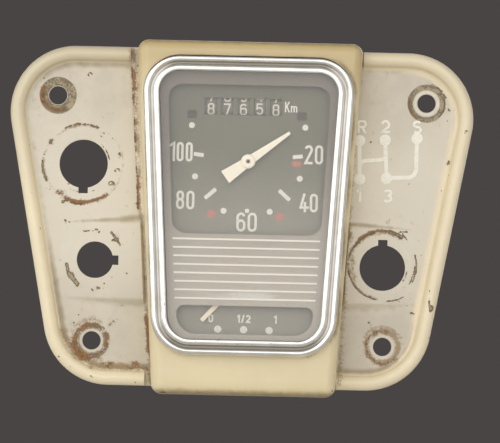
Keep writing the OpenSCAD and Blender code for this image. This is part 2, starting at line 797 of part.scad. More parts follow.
module pinion_shaft() {
    color("Silver") on_axis() rod_x(pinion_y, pinion_z, shaft_r, -bracket_x - bracket_t, 14.4);
}

// Drum with a gear on its right side and a carrying disc on its left side.
module odometer_drum(i) {
    half = drum_w / 2;
    color("DarkSlateGray") on_axis() translate([drum_x(i), drum_y, drum_z]) rotate([0, 90, 0]) difference() {
        union() {
            translate([0, 0, -half]) cylinder(r = drum_r, h = drum_w);
            if (i > 0) translate([0, 0, half - 0.2]) linear_extrude(height = 0.95)
                polygon(wheel_outline(drum_gear_r, drum_tooth, drum_gear_n, 0));
            if (i < 4) translate([0, 0, -half - 0.75]) cylinder(r = 5.4, h = 0.95);
            if (i < 4) translate([5, -0.5, -half - 0.75]) cube([1.9, 1, 0.95]);
        }
        cylinder(r = axle_r + run_gap, h = 20, center = true);
    }
}

module carry_pinion(i) {
    gap_x = (drum_x(i - 1) + drum_x(i)) / 2;
    width = drum_pitch - drum_w - 0.3;
    color("Ivory") on_axis() translate([gap_x, pinion_y, pinion_z]) rotate([0, 90, 0]) difference() {
        translate([0, 0, -width / 2]) linear_extrude(height = width)
            polygon(wheel_outline(pinion_r, drum_tooth, pinion_n, 0));
        cylinder(r = shaft_r + run_gap, h = 10, center = true);
    }
}

module fuel_bracket() {
    color("LightGray") on_axis() difference() {
        union() {
            box(-15, 15, fuel_front, fuel_front + fuel_plate_t, -34, -12);
            box(-15, 15, fuel_rear, fuel_back, -34, -12);
            box(-15, 15, fuel_front, fuel_back, -13.2, -12);
            for (s = [-1, 1]) rod_y(s * 12, -16, 1.2, dial_back, fuel_front + 0.5);
        }
        rod_y(0, fuel_z, needle_r + run_gap, fuel_front - 1, fuel_back + 1);
        for (s = [-1, 1]) rod_y(s * stud_x, stud_z, stud_r + run_gap, fuel_rear - 1, fuel_back + 1);
    }
}

module fuel_coils() {
    mid = fuel_front + 8;
    color("Peru") on_axis() for (s = [-1, 1]) {
        rod_z(s * stud_x, mid, 4.2, -30, -14.2);
        rod_z(s * stud_x, mid, 4.8, -31, -30);
        rod_z(s * stud_x, mid, 4.8, -14.2, -13.2);
    }
}

module fuel_spindle() {
    color("Silver") on_axis() rod_y(0, fuel_z, needle_r, dial_front - 2.2, fuel_back + 0.6);
}

module fuel_armature() {
    mid = fuel_front + 8;
    color("DimGray") on_axis() translate([0, 0, fuel_z]) difference() {
        union() {
            rod_y(0, 0, 1.6, mid - 1.5, mid + 1.5);
            along_y(mid - 1, mid + 1) rotate(-fuel_rest) polygon([[-1, 0], [1, 0], [2, 3], [-2, 3]]);
        }
        rod_y(0, 0, needle_r + press_gap, mid - 3, mid + 3);
    }
}

module fuel_needle() {
    back = dial_front - 1;
    color("Ivory") on_axis() translate([0, 0, fuel_z]) difference() {
        union() {
            along_y(back - 0.5, back) rotate(-90 - fuel_rest) polygon([
                [-5, -1.6], [0, -1], [fuel_len, -0.8], [fuel_len, 0.8], [0, 1], [-5, 1.6]]);
            rod_y(0, 0, 1.8, back - 0.8, back + 0.3);
        }
        rod_y(0, 0, needle_r + press_gap, back - 2, back + 2);
    }
}

module terminal_studs() {
    color("Goldenrod") on_axis() for (s = [-1, 1]) {
        rod_y(s * stud_x, stud_z, 3.2, fuel_rear - 1.5, fuel_rear);
        rod_y(s * stud_x, stud_z, stud_r, fuel_rear - 0.5, cover_back + 4.5);
        rod_y(s * stud_x, stud_z, stud_r - end_step, fuel_rear - 0.5, cover_back + 4.5 + stud_len);
    }
}

module terminal_spacers() {
    color("SaddleBrown") on_axis() for (s = [-1, 1]) difference() {
        rod_y(s * stud_x, stud_z, 4.2, fuel_back, case_back);
        rod_y(s * stud_x, stud_z, stud_r + run_gap, fuel_back - 1, case_back + 1);
    }
}

module terminal_insulators() {
    color("SaddleBrown") on_axis() for (s = [-1, 1]) difference() {
        union() {
            rod_y(s * stud_x, stud_z, 5, cover_back, cover_back + 1.5);
            rod_y(s * stud_x, stud_z, stud_r + 1.15, case_back, cover_back + 0.5);
        }
        rod_y(s * stud_x, stud_z, stud_r + run_gap, case_back - 1, cover_back + 3);
    }
}

module terminal_nuts() {
    color("Goldenrod") on_axis() for (s = [-1, 1]) difference() {
        hex_y(s * stud_x, stud_z, 4, cover_back + 1.5, cover_back + 4.5);
        rod_y(s * stud_x, stud_z, stud_r + press_gap, cover_back, cover_back + 6);
    }
}

module lamp_sockets() {
    color("Black") on_axis() for (p = lamp_at) {
        rod_y(p[0], p[1], 5.1, case_back - 4, cover_back + 9);
        rod_y(p[0], p[1], 7, cover_back, cover_back + 1.5);
        rod_y(p[0], p[1], 1.5, cover_back + 8.5, cover_back + 12);
    }
}

module lamp_bulbs() {
    color("LightYellow") on_axis() for (p = lamp_at) {
        rod_y(p[0], p[1], 3.5, case_back - 7.6, case_back - 4);
        translate([p[0], case_back - 7.6, p[1]]) sphere(r = 3.5);
    }
}

module clamp_strap() {
    z0 = strap_z - strap_w / 2;
    z1 = strap_z + strap_w / 2;
    color("Silver") on_axis() difference() {
        union() {
            box(-38.4, 38.4, strap_y, strap_y + strap_t, z0, z1);
            box(-38.4, -38.4 + strap_t, 0, strap_y + strap_t, z0, z1);
            box(38.4 - strap_t, 38.4, 0, strap_y + strap_t, z0, z1);
        }
        for (s = [-1, 1]) rod_y(s * clamp_x, strap_z, clamp_r + 0.3, strap_y - 1, strap_y + strap_t + 1);
    }
}

module clamp_studs() {
    color("Silver") on_axis() for (s = [-1, 1]) {
        rod_y(s * clamp_x, strap_z, clamp_r, case_back - 0.5, strap_y + strap_t + 9);
        rod_y(s * clamp_x, strap_z, 3.4, case_back - 1.5, case_back);
    }
}

// Flanged nuts.
module clamp_nuts() {
    seat = strap_y + strap_t;
    color("Silver") on_axis() for (s = [-1, 1]) difference() {
        union() {
            rod_y(s * clamp_x, strap_z, 4.8, seat, seat + 0.8);
            hex_y(s * clamp_x, strap_z, 4, seat + 0.4, seat + 4);
        }
        rod_y(s * clamp_x, strap_z, clamp_r + press_gap, seat - 1, seat + 5);
    }
}

dash_panel();
housing();
housing_screws();
bezel();
lens();
lens_gasket();
mask();
mask_strips();
speed_dial();
fuel_dial();
warning_filters();
case_shell();
case_cover();
case_screws();
mechanism_frame();
cable_boss();
boss_nut();
bridge();
bridge_screws();
front_bush();
hairspring();
needle_spindle();
speed_needle();
speed_cup();
drive_spindle();
magnet();
drive_worm();
cross_shaft();
cross_wheel();
cross_worm();
riser_shaft();
riser_wheel();
riser_worm();
odometer_axle();
odometer_wheel();
pinion_shaft();
for (i = [1:5]) odometer_drum(i - 1);
for (i = [1:4]) carry_pinion(i);
fuel_bracket();
fuel_coils();
fuel_spindle();
fuel_armature();
fuel_needle();
terminal_studs();
terminal_spacers();
terminal_insulators();
terminal_nuts();
lamp_sockets();
lamp_bulbs();
clamp_strap();
clamp_studs();
clamp_nuts();
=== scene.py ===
import json
import math

import bmesh
import bpy
import numpy
from bpy.props import FloatProperty, FloatVectorProperty, IntProperty, PointerProperty
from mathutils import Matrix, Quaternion, Vector
from mathutils.geometry import delaunay_2d_cdt


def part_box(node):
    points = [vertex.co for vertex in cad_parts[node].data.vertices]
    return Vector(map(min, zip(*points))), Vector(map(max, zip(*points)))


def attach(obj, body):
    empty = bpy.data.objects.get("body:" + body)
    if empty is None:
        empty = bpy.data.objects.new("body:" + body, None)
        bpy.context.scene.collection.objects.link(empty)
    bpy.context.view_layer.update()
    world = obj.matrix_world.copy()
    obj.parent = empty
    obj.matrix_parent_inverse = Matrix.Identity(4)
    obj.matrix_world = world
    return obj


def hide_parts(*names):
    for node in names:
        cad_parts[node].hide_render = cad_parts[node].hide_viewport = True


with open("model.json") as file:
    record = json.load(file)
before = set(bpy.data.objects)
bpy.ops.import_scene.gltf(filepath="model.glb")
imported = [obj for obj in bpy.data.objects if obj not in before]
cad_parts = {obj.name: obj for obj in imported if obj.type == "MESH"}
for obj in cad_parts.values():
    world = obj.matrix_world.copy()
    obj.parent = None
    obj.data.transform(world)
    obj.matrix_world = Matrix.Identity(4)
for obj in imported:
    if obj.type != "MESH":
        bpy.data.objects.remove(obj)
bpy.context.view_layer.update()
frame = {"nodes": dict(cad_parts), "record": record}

bl_info = {
    "name": "Vintage speedometer",
    "version": (1, 0, 0),
    "blender": (4, 5, 0),
    "location": "View3D > Sidebar > Speedometer",
    "description": "Dresses the speedometer, its cream housing and its worn dash panel",
    "category": "Object",
}

MM = 0.001


def middle(node, axis):
    """Middle of a CAD node along one axis, in millimetres."""
    low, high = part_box(node)
    return (low[axis] + high[axis]) / 2 / MM


# Heights below are millimetres from the panel's middle, and instrument widths from the housing's middle.
MID_Z = middle("dash_panel", 2)
MID_X = middle("housing", 0)
PANEL_FRONT = -1.2
FACE_Y = -16.0
MASK_FRONT = -15.2
MASK_BACK = -14.0
DIAL_FRONT = -11.2
COVER_BACK = 31.2
NEEDLE_Z = 21.75
FUEL_Z = -21.45
DRUM_Y, DRUM_Z, DRUM_R = -2.3, 42.5, 8.0
DRUM_X = (10.1, 3.95, -2.2, -8.35, -14.5)
SCREW_HOLES = ((-70.15, 45.4), (70.15, 45.4), (-55.35, -47.6), (55.35, -47.6))
SCREW_HOLE_R, KEY_HALF, KEY_DEEP = 3.5, 1.8, 2
RIGHT_GAP, LEFT_GAP = 0.4, 2.8
SEAM_LOW, SEAM_HIGH = 1, 57
SEAM_X, SEAM_SLOPE = -38.36, -0.0694
PAD_TOP, PAD_LOW, PAD_END, PAD_RUN = -2.7, -31.4, 68, 33
BEZEL_MID = 4.9
OPENING_INSET = 2.9
CASE_SCREW_INSET = 7.4
STRIP_TOP, STRIP_STEP, STRIP_HALF = -7.95, 3.21, 28.4
ODOMETER_LOW, ODOMETER_HIGH, ODOMETER_HALF = 39.0, 45.9, 2.2
# Each window of the mask: half width, lean in degrees, top, bottom, upper and lower corner radius.
WINDOWS = ((28.45, 2.86, 50.65, -5.95, 5.5, 5.5), (27.8, 3, -33.05, -43.95, 3, 7.5))
# Directions of the needles at rest, of the scale's start and its turn for each km/h, in degrees.
NEEDLE_TURN, FUEL_TURN = 35.7, -133.1
SCALE_START, SCALE_STEP = 55, -2.4175
# Each switch hole's place, radius and the direction of its keyway in degrees.
SWITCH_HOLES = ((-59.85, 19.55, 9.2, -90), (-54.7, -16.85, 6.95, 0), (54.7, -17.55, 8.7, 90))
# Edges that bend by more degrees than this stay sharp.
SMOOTH_ANGLE = 35.0
# The floor's height and a point on the camera's line of sight, in metres.
FLOOR_Z = -0.165
SIGHT = (0.00397, -0.006, -0.04638)


def linear(code):
    """Linear colour of an sRGB hex code."""
    parts = [int(code[i:i + 2], 16) / 255 for i in (1, 3, 5)]
    return tuple(c / 12.92 if c <= 0.04045 else ((c + 0.055) / 1.055) ** 2.4 for c in parts) + (1.0,)


def length(label, words, value):
    """Size property, kept in metres and written here in millimetres."""
    return FloatProperty(name=label, description=words, default=value * MM, unit="LENGTH", precision=5)


def slant(label, words, value):
    """Angle property, written here in degrees."""
    return FloatProperty(name=label, description=words, default=math.radians(value), subtype="ANGLE")


def colour(label, words, code):
    """Colour property."""
    return FloatVectorProperty(name=label, description=words, default=linear(code), subtype="COLOR", size=4,
                               min=0.0, max=1.0)


class PanelSettings(bpy.types.PropertyGroup):
    width: length("Width", "Width at mid height", 162.6)
    height: length("Height", "Height over the rim", 128.7)
    lean: slant("Lean", "Lean of the sides", 10.3)
    corner: length("Corner", "Corner radius of the outline", 25)
    sheet: length("Sheet", "Sheet thickness", 1.2)
    rim: length("Rim", "Width of the rolled rim", 5.4)
    crest: length("Crest", "Height of the rim over the flat", 3.4)
    pad: length("Pad rise", "How far the switch pads stand forward beside the housing", 2.6)
    flat: colour("Flat paint", "Faded enamel on the flats", "#D3C9B6")
    bead: colour("Rim paint", "Cream enamel on the rim", "#F3E4C2")
    rust: colour("Rust", "Rust at chipped edges", "#8C5E3B")


class HousingSettings(bpy.types.PropertyGroup):
    width: length("Width", "Width at mid height", 77.6)
    height: length("Height", "Height", 134.2)
    lean: slant("Lean", "Lean of the sides", 3.5)
    corner: length("Corner", "Corner radius of the outline", 4.2)
    roll: length("Roll", "Radius rolled over the front edge", 3.8)
    wall: length("Wall", "Wall thickness", 2)
    paint: colour("Paint", "Cream enamel", "#E8D7AC")
    # Yellower enamel along the top, its darkness partly painted shade on the top band.
    yellowed: colour("Yellowed paint", "Enamel darkened by the sun along the top", "#CDB684")


class InstrumentSettings(bpy.types.PropertyGroup):
    width: length("Bezel width", "Bezel width at mid height", 74)
    top: length("Bezel top", "Top of the bezel over the panel's middle", 61.75)
    bottom: length("Bezel bottom", "Bottom of the bezel", -51.95)
    lean: slant("Lean", "Lean of the sides", 3.2)
    top_corner: length("Upper corners", "Upper corner radius", 14)
    low_corner: length("Lower corners", "Lower corner radius", 15)
    spread: length("Bezel spread", "Overhang of the bezel's sides over the case outline", 0.4)
    strips: IntProperty(name="Strips", description="Pale strips on the mask", default=8, min=1, max=8)
    mask: colour("Mask", "Grey mask", "#7E766C")
    dial: colour("Dial", "Grey-green dial", "#727061")
    ink: colour("Ink", "Dial print", "#E6E2D8")
    needle: colour("Needles", "Cream needle lacquer", "#FBF2E0")


class StageSettings(bpy.types.PropertyGroup):
    distance: FloatProperty(name="Distance", description="Camera distance", default=2.4, unit="LENGTH")
    frame_width: length("Frame width", "Width of the view at the panel", 190)
    roll: slant("Roll", "Camera roll", 1.3)
    backdrop: colour("Backdrop", "Plain background", "#494544")
    floor: colour("Floor", "Plain pale floor", "#EFECE6")


def add(tree, kind, ins=None, **settings):
    """Adds one node. ins maps an input to a value, an output, or a node that gives its first open output."""
    n = tree.nodes.new(kind)
    for key, value in settings.items():
        setattr(n, key, value)
    for key, value in (ins or {}).items():
        if isinstance(value, bpy.types.Node):
            value = next(o for o in value.outputs if o.enabled)
        if isinstance(value, bpy.types.NodeSocket):
            tree.links.new(value, n.inputs[key])
        else:
            n.inputs[key].default_value = value
    return n


def new_material(name, patterns=(), paints=()):
    """Starts a material with noise patterns and painted attributes.

    patterns are pairs of a blotch size in millimetres and a noise detail, paints names of mesh attributes.
    Returns the material, its tree, its object coordinates, then each pattern and each paint.
    """
    m = bpy.data.materials.new(name)
    m.use_nodes = True
    tree = m.node_tree
    tree.nodes.clear()
    where = add(tree, "ShaderNodeTexCoord").outputs["Object"]
    noises = [add(tree, "ShaderNodeTexNoise", {"Vector": where, "Scale": 1 / (size * MM), "Detail": detail})
              for size, detail in patterns]
    marks = [add(tree, "ShaderNodeAttribute", attribute_name=label).outputs["Fac"] for label in paints]
    return m, tree, where, *noises, *marks


def surface(tree, ins, height=None, depth=0.0):
    """Ends a material with its principled shader and, given a height, a bump of depth millimetres."""
    if height:
        bump = add(tree, "ShaderNodeBump", {"Height": height, "Distance": depth * MM, "Strength": 1.0})
        ins = ins | {"Normal": bump}
    shader = add(tree, "ShaderNodeBsdfPrincipled", ins)
    add(tree, "ShaderNodeOutputMaterial", {"Surface": shader})


def weighted(tree, start, *pairs):
    """A start, which is a number or a pattern, plus patterns times their weights."""
    for pattern, weight in pairs:
        start = add(tree, "ShaderNodeMath", {0: pattern, 1: weight, 2: start}, operation="MULTIPLY_ADD")
    return start


def coat(tree, under, over, low, high, start, *pairs, most=1.0):
    """Lays a colour over another where a weighted sum of patterns climbs from low to high.

    Returns the new colour and the share of the upper one, from 0 to most.
    """
    total = weighted(tree, start, *pairs)
    share = add(tree, "ShaderNodeMapRange", {0: total, 1: low, 2: high, 3: 0.0, 4: most},
                interpolation_type="SMOOTHSTEP")
    return add(tree, "ShaderNodeMix", {0: share, 6: under, 7: over}, data_type="RGBA"), share


def tint(code, share):
    """Linear colour scaled in brightness."""
    return tuple(min(1.0, c * share) for c in code[:3]) + (1.0,)


def up(z):
    """Height over the panel's middle, in millimetres, as a place in the scene."""
    return (MID_Z + z) * MM


def panel_enamel(s):
    """Baked enamel on pressed steel: faded matt flats, glossier cream rim, rust from chipped edges; painted
    light across the flats' middle and painted shade on the rim, its foot, the pads' folds and beside the
    housing.
    """
    m, t, where, broad, fine, dust, rim, rust, chip, stain_and_shade, pale, foot, ring = new_material(
        "baked_enamel_worn", ((16, 3), (2.4, 5), (0.7, 3)),
        ("rim", "rust", "chip", "stain_and_shade", "pale", "foot", "ring"))
    place = add(t, "ShaderNodeSeparateXYZ", {0: where}).outputs
    flat, _ = coat(t, tint(s.flat, 0.93), tint(s.flat, 1.06), 0.3, 0.7, broad)
    flat, _ = coat(t, flat, tint(s.flat, 0.88), 0.35, 0.8, fine, most=0.5)
    # Lighter across the middle heights: painted light on the flats.
    painted_light_share = add(t, "ShaderNodeMapRange", {0: place["Z"], 1: up(-46), 2: up(-8), 3: 0.0, 4: 0.75},
                 interpolation_type="SMOOTHSTEP")
    flat, _ = coat(t, flat, linear("#E7DECB"), up(52), up(16), place["Z"], most=painted_light_share)
    bead, _ = coat(t, tint(s.bead, 0.98), tint(s.bead, 1.03), 0.3, 0.7, broad)
    # Darker towards the top, and more so on the left: painted shade on the rim.
    rim_shade_leftward = add(t, "ShaderNodeMapRange", {0: place["X"], 1: -30 * MM, 2: 50 * MM, 3: 1.0, 4: 0.4},
                   interpolation_type="SMOOTHSTEP")
    bead, _ = coat(t, bead, tint(s.bead, 0.76), up(-10), up(60), place["Z"], most=rim_shade_leftward)
    paint = add(t, "ShaderNodeMix", {0: rim, 6: flat, 7: bead}, data_type="RGBA")
    paint, _ = coat(t, paint, linear("#E6DFCF"), 0.75, 1.15, pale, (fine, 0.7), (dust, 0.3), most=0.9)
    # Soiling and painted shade along the rim's foot and in the pads' folds.
    paint, _ = coat(t, paint, linear("#94805C"), 0.4, 1.3, foot, (fine, 0.5), most=0.75)
    # Stains, and beside the housing painted shade as well.
    paint, _ = coat(t, paint, linear("#9A7E56"), 1.09, 1.62, stain_and_shade, (fine, 0.8), (dust, 1.0), most=0.8)
    scuffed, _ = coat(t, linear("#655539"), linear("#A69573"), 0.47, 0.63, 0.0, (fine, 0.6), (dust, 0.5))
    paint, _ = coat(t, paint, scuffed, 0.85, 1.1, ring, (fine, 0.8), (dust, 0.3), most=0.9)
    gone = weighted(t, rust, (fine, 0.8), (dust, 1.1))
    scale, _ = coat(t, tint(s.rust, 0.8), linear("#9E7040"), 0.4, 0.6, dust)
    scale, _ = coat(t, tint(s.rust, 0.55), scale, 1.75, 2.0, gone, (fine, 0.6))
    paint, eaten = coat(t, paint, scale, 1.17, 1.67, gone, most=0.9)
    flake = weighted(t, chip, (fine, 0.9), (dust, 0.9))
    steel, _ = coat(t, linear("#77603C"), linear("#A3957A"), 1.52, 1.7, flake)
    paint, bare = coat(t, paint, steel, 1.3, 1.36, flake)
    # Fly specks: the points of a cell pattern that lie on the sheet, in one of seven cells of 5 mm.
    cells = add(t, "ShaderNodeTexVoronoi", {"Vector": where, "Scale": 1 / (5 * MM)}).outputs
    lot = add(t, "ShaderNodeSeparateColor", {0: cells["Color"]})
    near = add(t, "ShaderNodeMapRange", {0: cells["Distance"], 1: 0.05, 2: 0.085, 3: 0.75, 4: 0.0},
               interpolation_type="SMOOTHSTEP")
    paint, _ = coat(t, paint, linear("#5B4630"), 0.84, 0.86, lot, most=near)
    rough = weighted(t, 0.42, (rim, -0.26), (eaten, 0.4), (fine, 0.12))
    height = weighted(t, 0.0, (eaten, 0.5), (bare, -1.0), (dust, 0.2), (broad, 0.4))
    surface(t, {"Base Color": paint, "Roughness": rough, "IOR": 1.5}, height, 0.12)
    return m


def housing_enamel(s):
    """Sprayed cream enamel, glossy with a soft orange peel, grimy in its edges. Along the top it is yellower
    and carries painted shade; more painted shade lies on its rolled edges, where it meets the panel and
    beside the bezel.
    """
    m, t, where, broad, fine, peel, soiled_and_shaded, chip = new_material(
        "sprayed_enamel_cream", ((22, 3), (3, 4), (1.1, 2)), ("grime_and_shade", "chip"))
    z = add(t, "ShaderNodeSeparateXYZ", {0: where}).outputs["Z"]
    # Darker and yellower towards the top: aged enamel together with painted shade.
    paint, aged = coat(t, s.paint, s.yellowed, up(48), up(68), z, (broad, 0.012))
    mottle = add(t, "ShaderNodeMix", {0: aged, 6: tint(s.paint, 0.9), 7: tint(s.yellowed, 0.92)},
                 data_type="RGBA")
    paint, _ = coat(t, paint, mottle, 0.35, 0.7, broad, most=0.5)
    # Soiling together with painted shade on the rolled edges, where the housing meets the panel and beside
    # the bezel.
    paint, grime_and_shade = coat(t, paint, linear("#8F7A50"), 0.45, 1.25, soiled_and_shaded, (fine, 0.5), most=0.85)
    paint, bare = coat(t, paint, linear("#6A563A"), 0.95, 1.01, chip, (fine, 0.9))
    rough = weighted(t, 0.26, (fine, 0.12), (grime_and_shade, 0.2))
    height = weighted(t, 0.0, (peel, 0.25), (bare, -1.0))
    gloss = {"IOR": 1.5, "Coat Weight": 0.5, "Coat Roughness": 0.08}
    surface(t, {"Base Color": paint, "Roughness": rough} | gloss, height, 0.08)
    return m


def polished_aluminium():
    """Buffed aluminium: bright, with faint lines along the ring, dull oxide in the groove, thinner on the
    sides as painted reflection, and small pits.
    """
    m, t, _, blotch, grain, dull, pits = new_material("buffed_aluminium", ((7, 3), (0.8, 4)), ("dull", "pit"))
    run = add(t, "ShaderNodeUVMap", uv_map="run")
    along = add(t, "ShaderNodeVectorMath", {0: run, 1: (0.02, 1, 1)}, operation="MULTIPLY")
    lines = add(t, "ShaderNodeTexNoise", {"Vector": along, "Scale": 1 / (0.6 * MM), "Detail": 3})
    shine, _ = coat(t, linear("#F3F1EC"), linear("#E2DED6"), 0.3, 0.75, blotch)
    oxide = weighted(t, 0.0, (dull, 0.9))
    shine = add(t, "ShaderNodeMix", {0: oxide, 6: shine, 7: linear("#9C9488")}, data_type="RGBA")
    shine, pit = coat(t, shine, linear("#5E5244"), 1.16, 1.24, pits, (grain, 1.1))
    rough = weighted(t, 0.16, (lines, 0.12), (dull, 0.36), (pit, 0.4))
    height = weighted(t, 0.0, (lines, 0.3), (pit, -1.0))
    surface(t, {"Base Color": shine, "Roughness": rough, "Metallic": 1.0}, height, 0.03)
    return m


def from_spot(tree, where, x, z, wide, high):
    """Distance from a point of the instrument's face, equal to 1 at wide across and at high up from it."""
    spot = add(tree, "ShaderNodeMapping", {0: where, 1: (-(x + MID_X) * MM, 0, -up(z))})
    spot = add(tree, "ShaderNodeVectorMath", {0: spot, 1: (1 / (wide * MM), 0, 1 / (high * MM))},
               operation="MULTIPLY")
    return add(tree, "ShaderNodeVectorMath", {0: spot}, operation="LENGTH").outputs["Value"]


def flat_glass():
    """Float glass: clear, hard edged reflections, and a film of dust. Lamps shine through it."""
    m, t, where, film = new_material("float_glass", ((9, 4),))
    rough = add(t, "ShaderNodeMapRange", {0: film, 1: 0.45, 2: 0.8, 3: 0.0, 4: 0.04},
                interpolation_type="SMOOTHSTEP")
    pane = add(t, "ShaderNodeBsdfPrincipled", {
        "Base Color": linear("#FEFDFB"), "Roughness": rough, "IOR": 1.5, "Transmission Weight": 1.0})
    # A wiped smear of dust, 34 mm long, over the lowest strips.
    wiped = add(t, "ShaderNodeVectorMath", {0: where, 1: (0.5, 1, 1)}, operation="MULTIPLY")
    streaks = add(t, "ShaderNodeTexNoise", {"Vector": wiped, "Scale": 1 / (5 * MM), "Detail": 5})
    far = weighted(t, from_spot(t, where, 0, -29.2, 17, 2.2), (streaks, 1.6))
    smear = add(t, "ShaderNodeMapRange", {0: far, 1: 1.0, 2: 1.8, 3: 0.26, 4: 0.0},
                interpolation_type="SMOOTHSTEP")
    dusty = add(t, "ShaderNodeBsdfDiffuse", {0: linear("#F4F1EA")})
    glass = add(t, "ShaderNodeMixShader", {0: smear, 1: pane, 2: dusty})
    path = add(t, "ShaderNodeLightPath").outputs
    lets = add(t, "ShaderNodeMath", {0: path["Is Shadow Ray"], 1: path["Is Diffuse Ray"]},
               operation="MAXIMUM")
    clear = add(t, "ShaderNodeBsdfTransparent", {0: linear("#FEFDFB")})
    both = add(t, "ShaderNodeMixShader", {0: lets, 1: glass, 2: clear})
    add(t, "ShaderNodeOutputMaterial", {"Surface": both})
    return m


def moulded_mask(s):
    """Moulded grey plastic mask, matt, paler towards the bottom with painted light."""
    m, t, where, broad, fine = new_material("moulded_mask_plastic", ((14, 3), (0.8, 3)))
    z = add(t, "ShaderNodeSeparateXYZ", {0: where}).outputs["Z"]
    # Paler towards the bottom: painted light, the hazy glass glowing more there.
    shade, _ = coat(t, s.mask, linear("#B8B0A4"), up(46), up(-20), z, (broad, 0.012))
    shade, _ = coat(t, shade, tint(s.mask, 0.85), 0.3, 0.8, fine, most=0.25)
    rough = weighted(t, 0.5, (fine, 0.15))
    surface(t, {"Base Color": shade, "Roughness": rough, "Specular IOR Level": 0.3}, fine, 0.02)
    return m


def dial_lacquer(s):
    """Sprayed matt lacquer on the dials, mottled with age, with three faded red change-up marks."""
    m, t, where, broad, fine = new_material("matt_lacquer_dial", ((12, 3), (0.9, 4)))
    z = add(t, "ShaderNodeSeparateXYZ", {0: where}).outputs["Z"]
    # Paler towards the bottom: painted light, as on the mask.
    shade, _ = coat(t, s.dial, linear("#979387"), up(36), up(-6), z, (broad, 0.01))
    shade, _ = coat(t, shade, tint(s.dial, 0.85), 0.3, 0.8, fine, most=0.2)
    for x, z, wide, high in ((18.4, 21.2, 2.9, 1.7), (12.3, 1.05, 2.4, 2.3), (-13.6, 1.6, 2.4, 2.3)):
        far = from_spot(t, where, x, z, wide, high)
        shade, _ = coat(t, shade, linear("#D27C6C"), 1.2, 0.45, far, (fine, 0.35), most=0.72)
    rough = weighted(t, 0.55, (fine, 0.12))
    surface(t, {"Base Color": shade, "Roughness": rough, "Specular IOR Level": 0.25})
    return m


def print_ink(name, code, wear):
    """Screen-printed ink, slightly chalky, thin enough for wear to show through it."""
    m, t, _, fine = new_material(name, ((0.5, 4),))
    shade, _ = coat(t, tuple(code), tint(code, 0.72), 0.45, 0.75, fine, most=wear)
    rough = weighted(t, 0.5, (fine, 0.1))
    surface(t, {"Base Color": shade, "Roughness": rough, "Specular IOR Level": 0.25})
    return m


def stoved_lacquer(name, code, gloss):
    """Stoved lacquer on thin sheet: smooth and semi-gloss with faint handling marks."""
    m, t, _, fine = new_material(name, ((1.5, 4),))
    shade, _ = coat(t, tuple(code), tint(code, 0.88), 0.35, 0.75, fine, most=0.5)
    surface(t, {"Base Color": shade, "Roughness": weighted(t, gloss, (fine, 0.15))})
    return m


def metal(name, light, dark, rough, size, tarnish=None):
    """Bare or plated metal: machining marks of the given size, patchy tone and, where named, tarnish."""
    m, t, where, marks, patch = new_material(name, ((size, 3), (9, 4)))
    shade, _ = coat(t, linear(light), linear(dark), 0.3, 0.7, patch)
    if tarnish:
        bloom = add(t, "ShaderNodeTexNoise", {"Vector": where, "Scale": 1 / (2 * MM), "Detail": 5})
        shade, _ = coat(t, shade, linear(tarnish), 0.58, 0.8, 0.0, (patch, 0.6), (bloom, 0.6), most=0.7)
    rough = weighted(t, rough, (marks, 0.2), (patch, 0.15))
    surface(t, {"Base Color": shade, "Roughness": rough, "Metallic": 1.0}, marks, 0.03)
    return m


def moulding(name, light, dark, rough, size=0.6):
    """Moulded or pressed non-metal: fine texture, slight mottling, soft shine."""
    m, t, _, fine, patch = new_material(name, ((size, 3), (6, 3)))
    shade, _ = coat(t, linear(light), linear(dark), 0.3, 0.7, patch)
    surface(t, {"Base Color": shade, "Roughness": weighted(t, rough, (fine, 0.2))}, fine, 0.03)
    return m


def curve(cx, cz, rx, rz, a0, a1, n=10):
    """Points of an elliptical arc about (cx, cz), angles in degrees."""
    turns = [math.radians(a0 + (a1 - a0) * i / n) for i in range(n + 1)]
    return [(cx + rx * math.cos(a), cz + rz * math.sin(a)) for a in turns]


def arc(cx, cz, r, a0, a1, n):
    """Points of a circular arc about (cx, cz), angles in degrees."""
    return curve(cx, cz, r, r, a0, a1, n)


def circle(cx, cz, r, n):
    """The n points of a full circle."""
    return arc(cx, cz, r, 0, 360 - 360 / n, n - 1)


def divided(p, q, k):
    """Points that divide a straight stretch into k, without its ends."""
    return [(p[0] + (q[0] - p[0]) * i / k, p[1] + (q[1] - p[1]) * i / k) for i in range(1, k)]


def trapezoid(half, lean, top, bottom, rt, rb, d, n, side):
    """Rounded trapezoid moved inwards by d, anticlockwise from the front, with as many points at any d."""
    slope, deg = math.tan(lean), math.degrees(lean)
    tx, tz = half - rt / math.cos(lean) + (top - rt) * slope, top - rt
    bx, bz = half - rb / math.cos(lean) + (bottom + rb) * slope, bottom + rb
    arcs = [arc(tx, tz, rt - d, -deg, 90, n), arc(-tx, tz, rt - d, 90, 180 + deg, n),
            arc(-bx, bz, rb - d, 180 + deg, 270, n), arc(bx, bz, rb - d, 270, 360 - deg, n)]
    loop = []
    for a, b in zip(arcs, arcs[1:] + arcs[:1]):
        loop += a + divided(a[-1], b[0], side)
    return loop


def face_outline(d, n=20, side=28, spread=0.0):
    """Outline of the instrument moved inwards by d."""
    s = bpy.context.scene.speedometer_instrument
    half, top, bottom = s.width / MM / 2 + spread, s.top / MM, s.bottom / MM
    return trapezoid(half, s.lean, top, bottom, s.top_corner / MM, s.low_corner / MM, d, n, side)


def spaced(points, step, closed=True):
    """The same line with long stretches divided to about step."""
    out = []
    for p, q in zip(points, points[1:] + (points[:1] if closed else [])):
        out += [p] + divided(p, q, max(1, round(math.dist(p, q) / step)))
    return out if closed else out + points[-1:]


def inside(loop, x, z):
    """True for each point that lies in a closed loop."""
    hit = numpy.zeros(len(x), bool)
    for (x0, z0), (x1, z1) in zip(loop, loop[1:] + loop[:1]):
        if z0 != z1:
            hit ^= ((z0 > z) != (z1 > z)) & (x < (x1 - x0) * (z - z0) / (z1 - z0) + x0)
    return hit


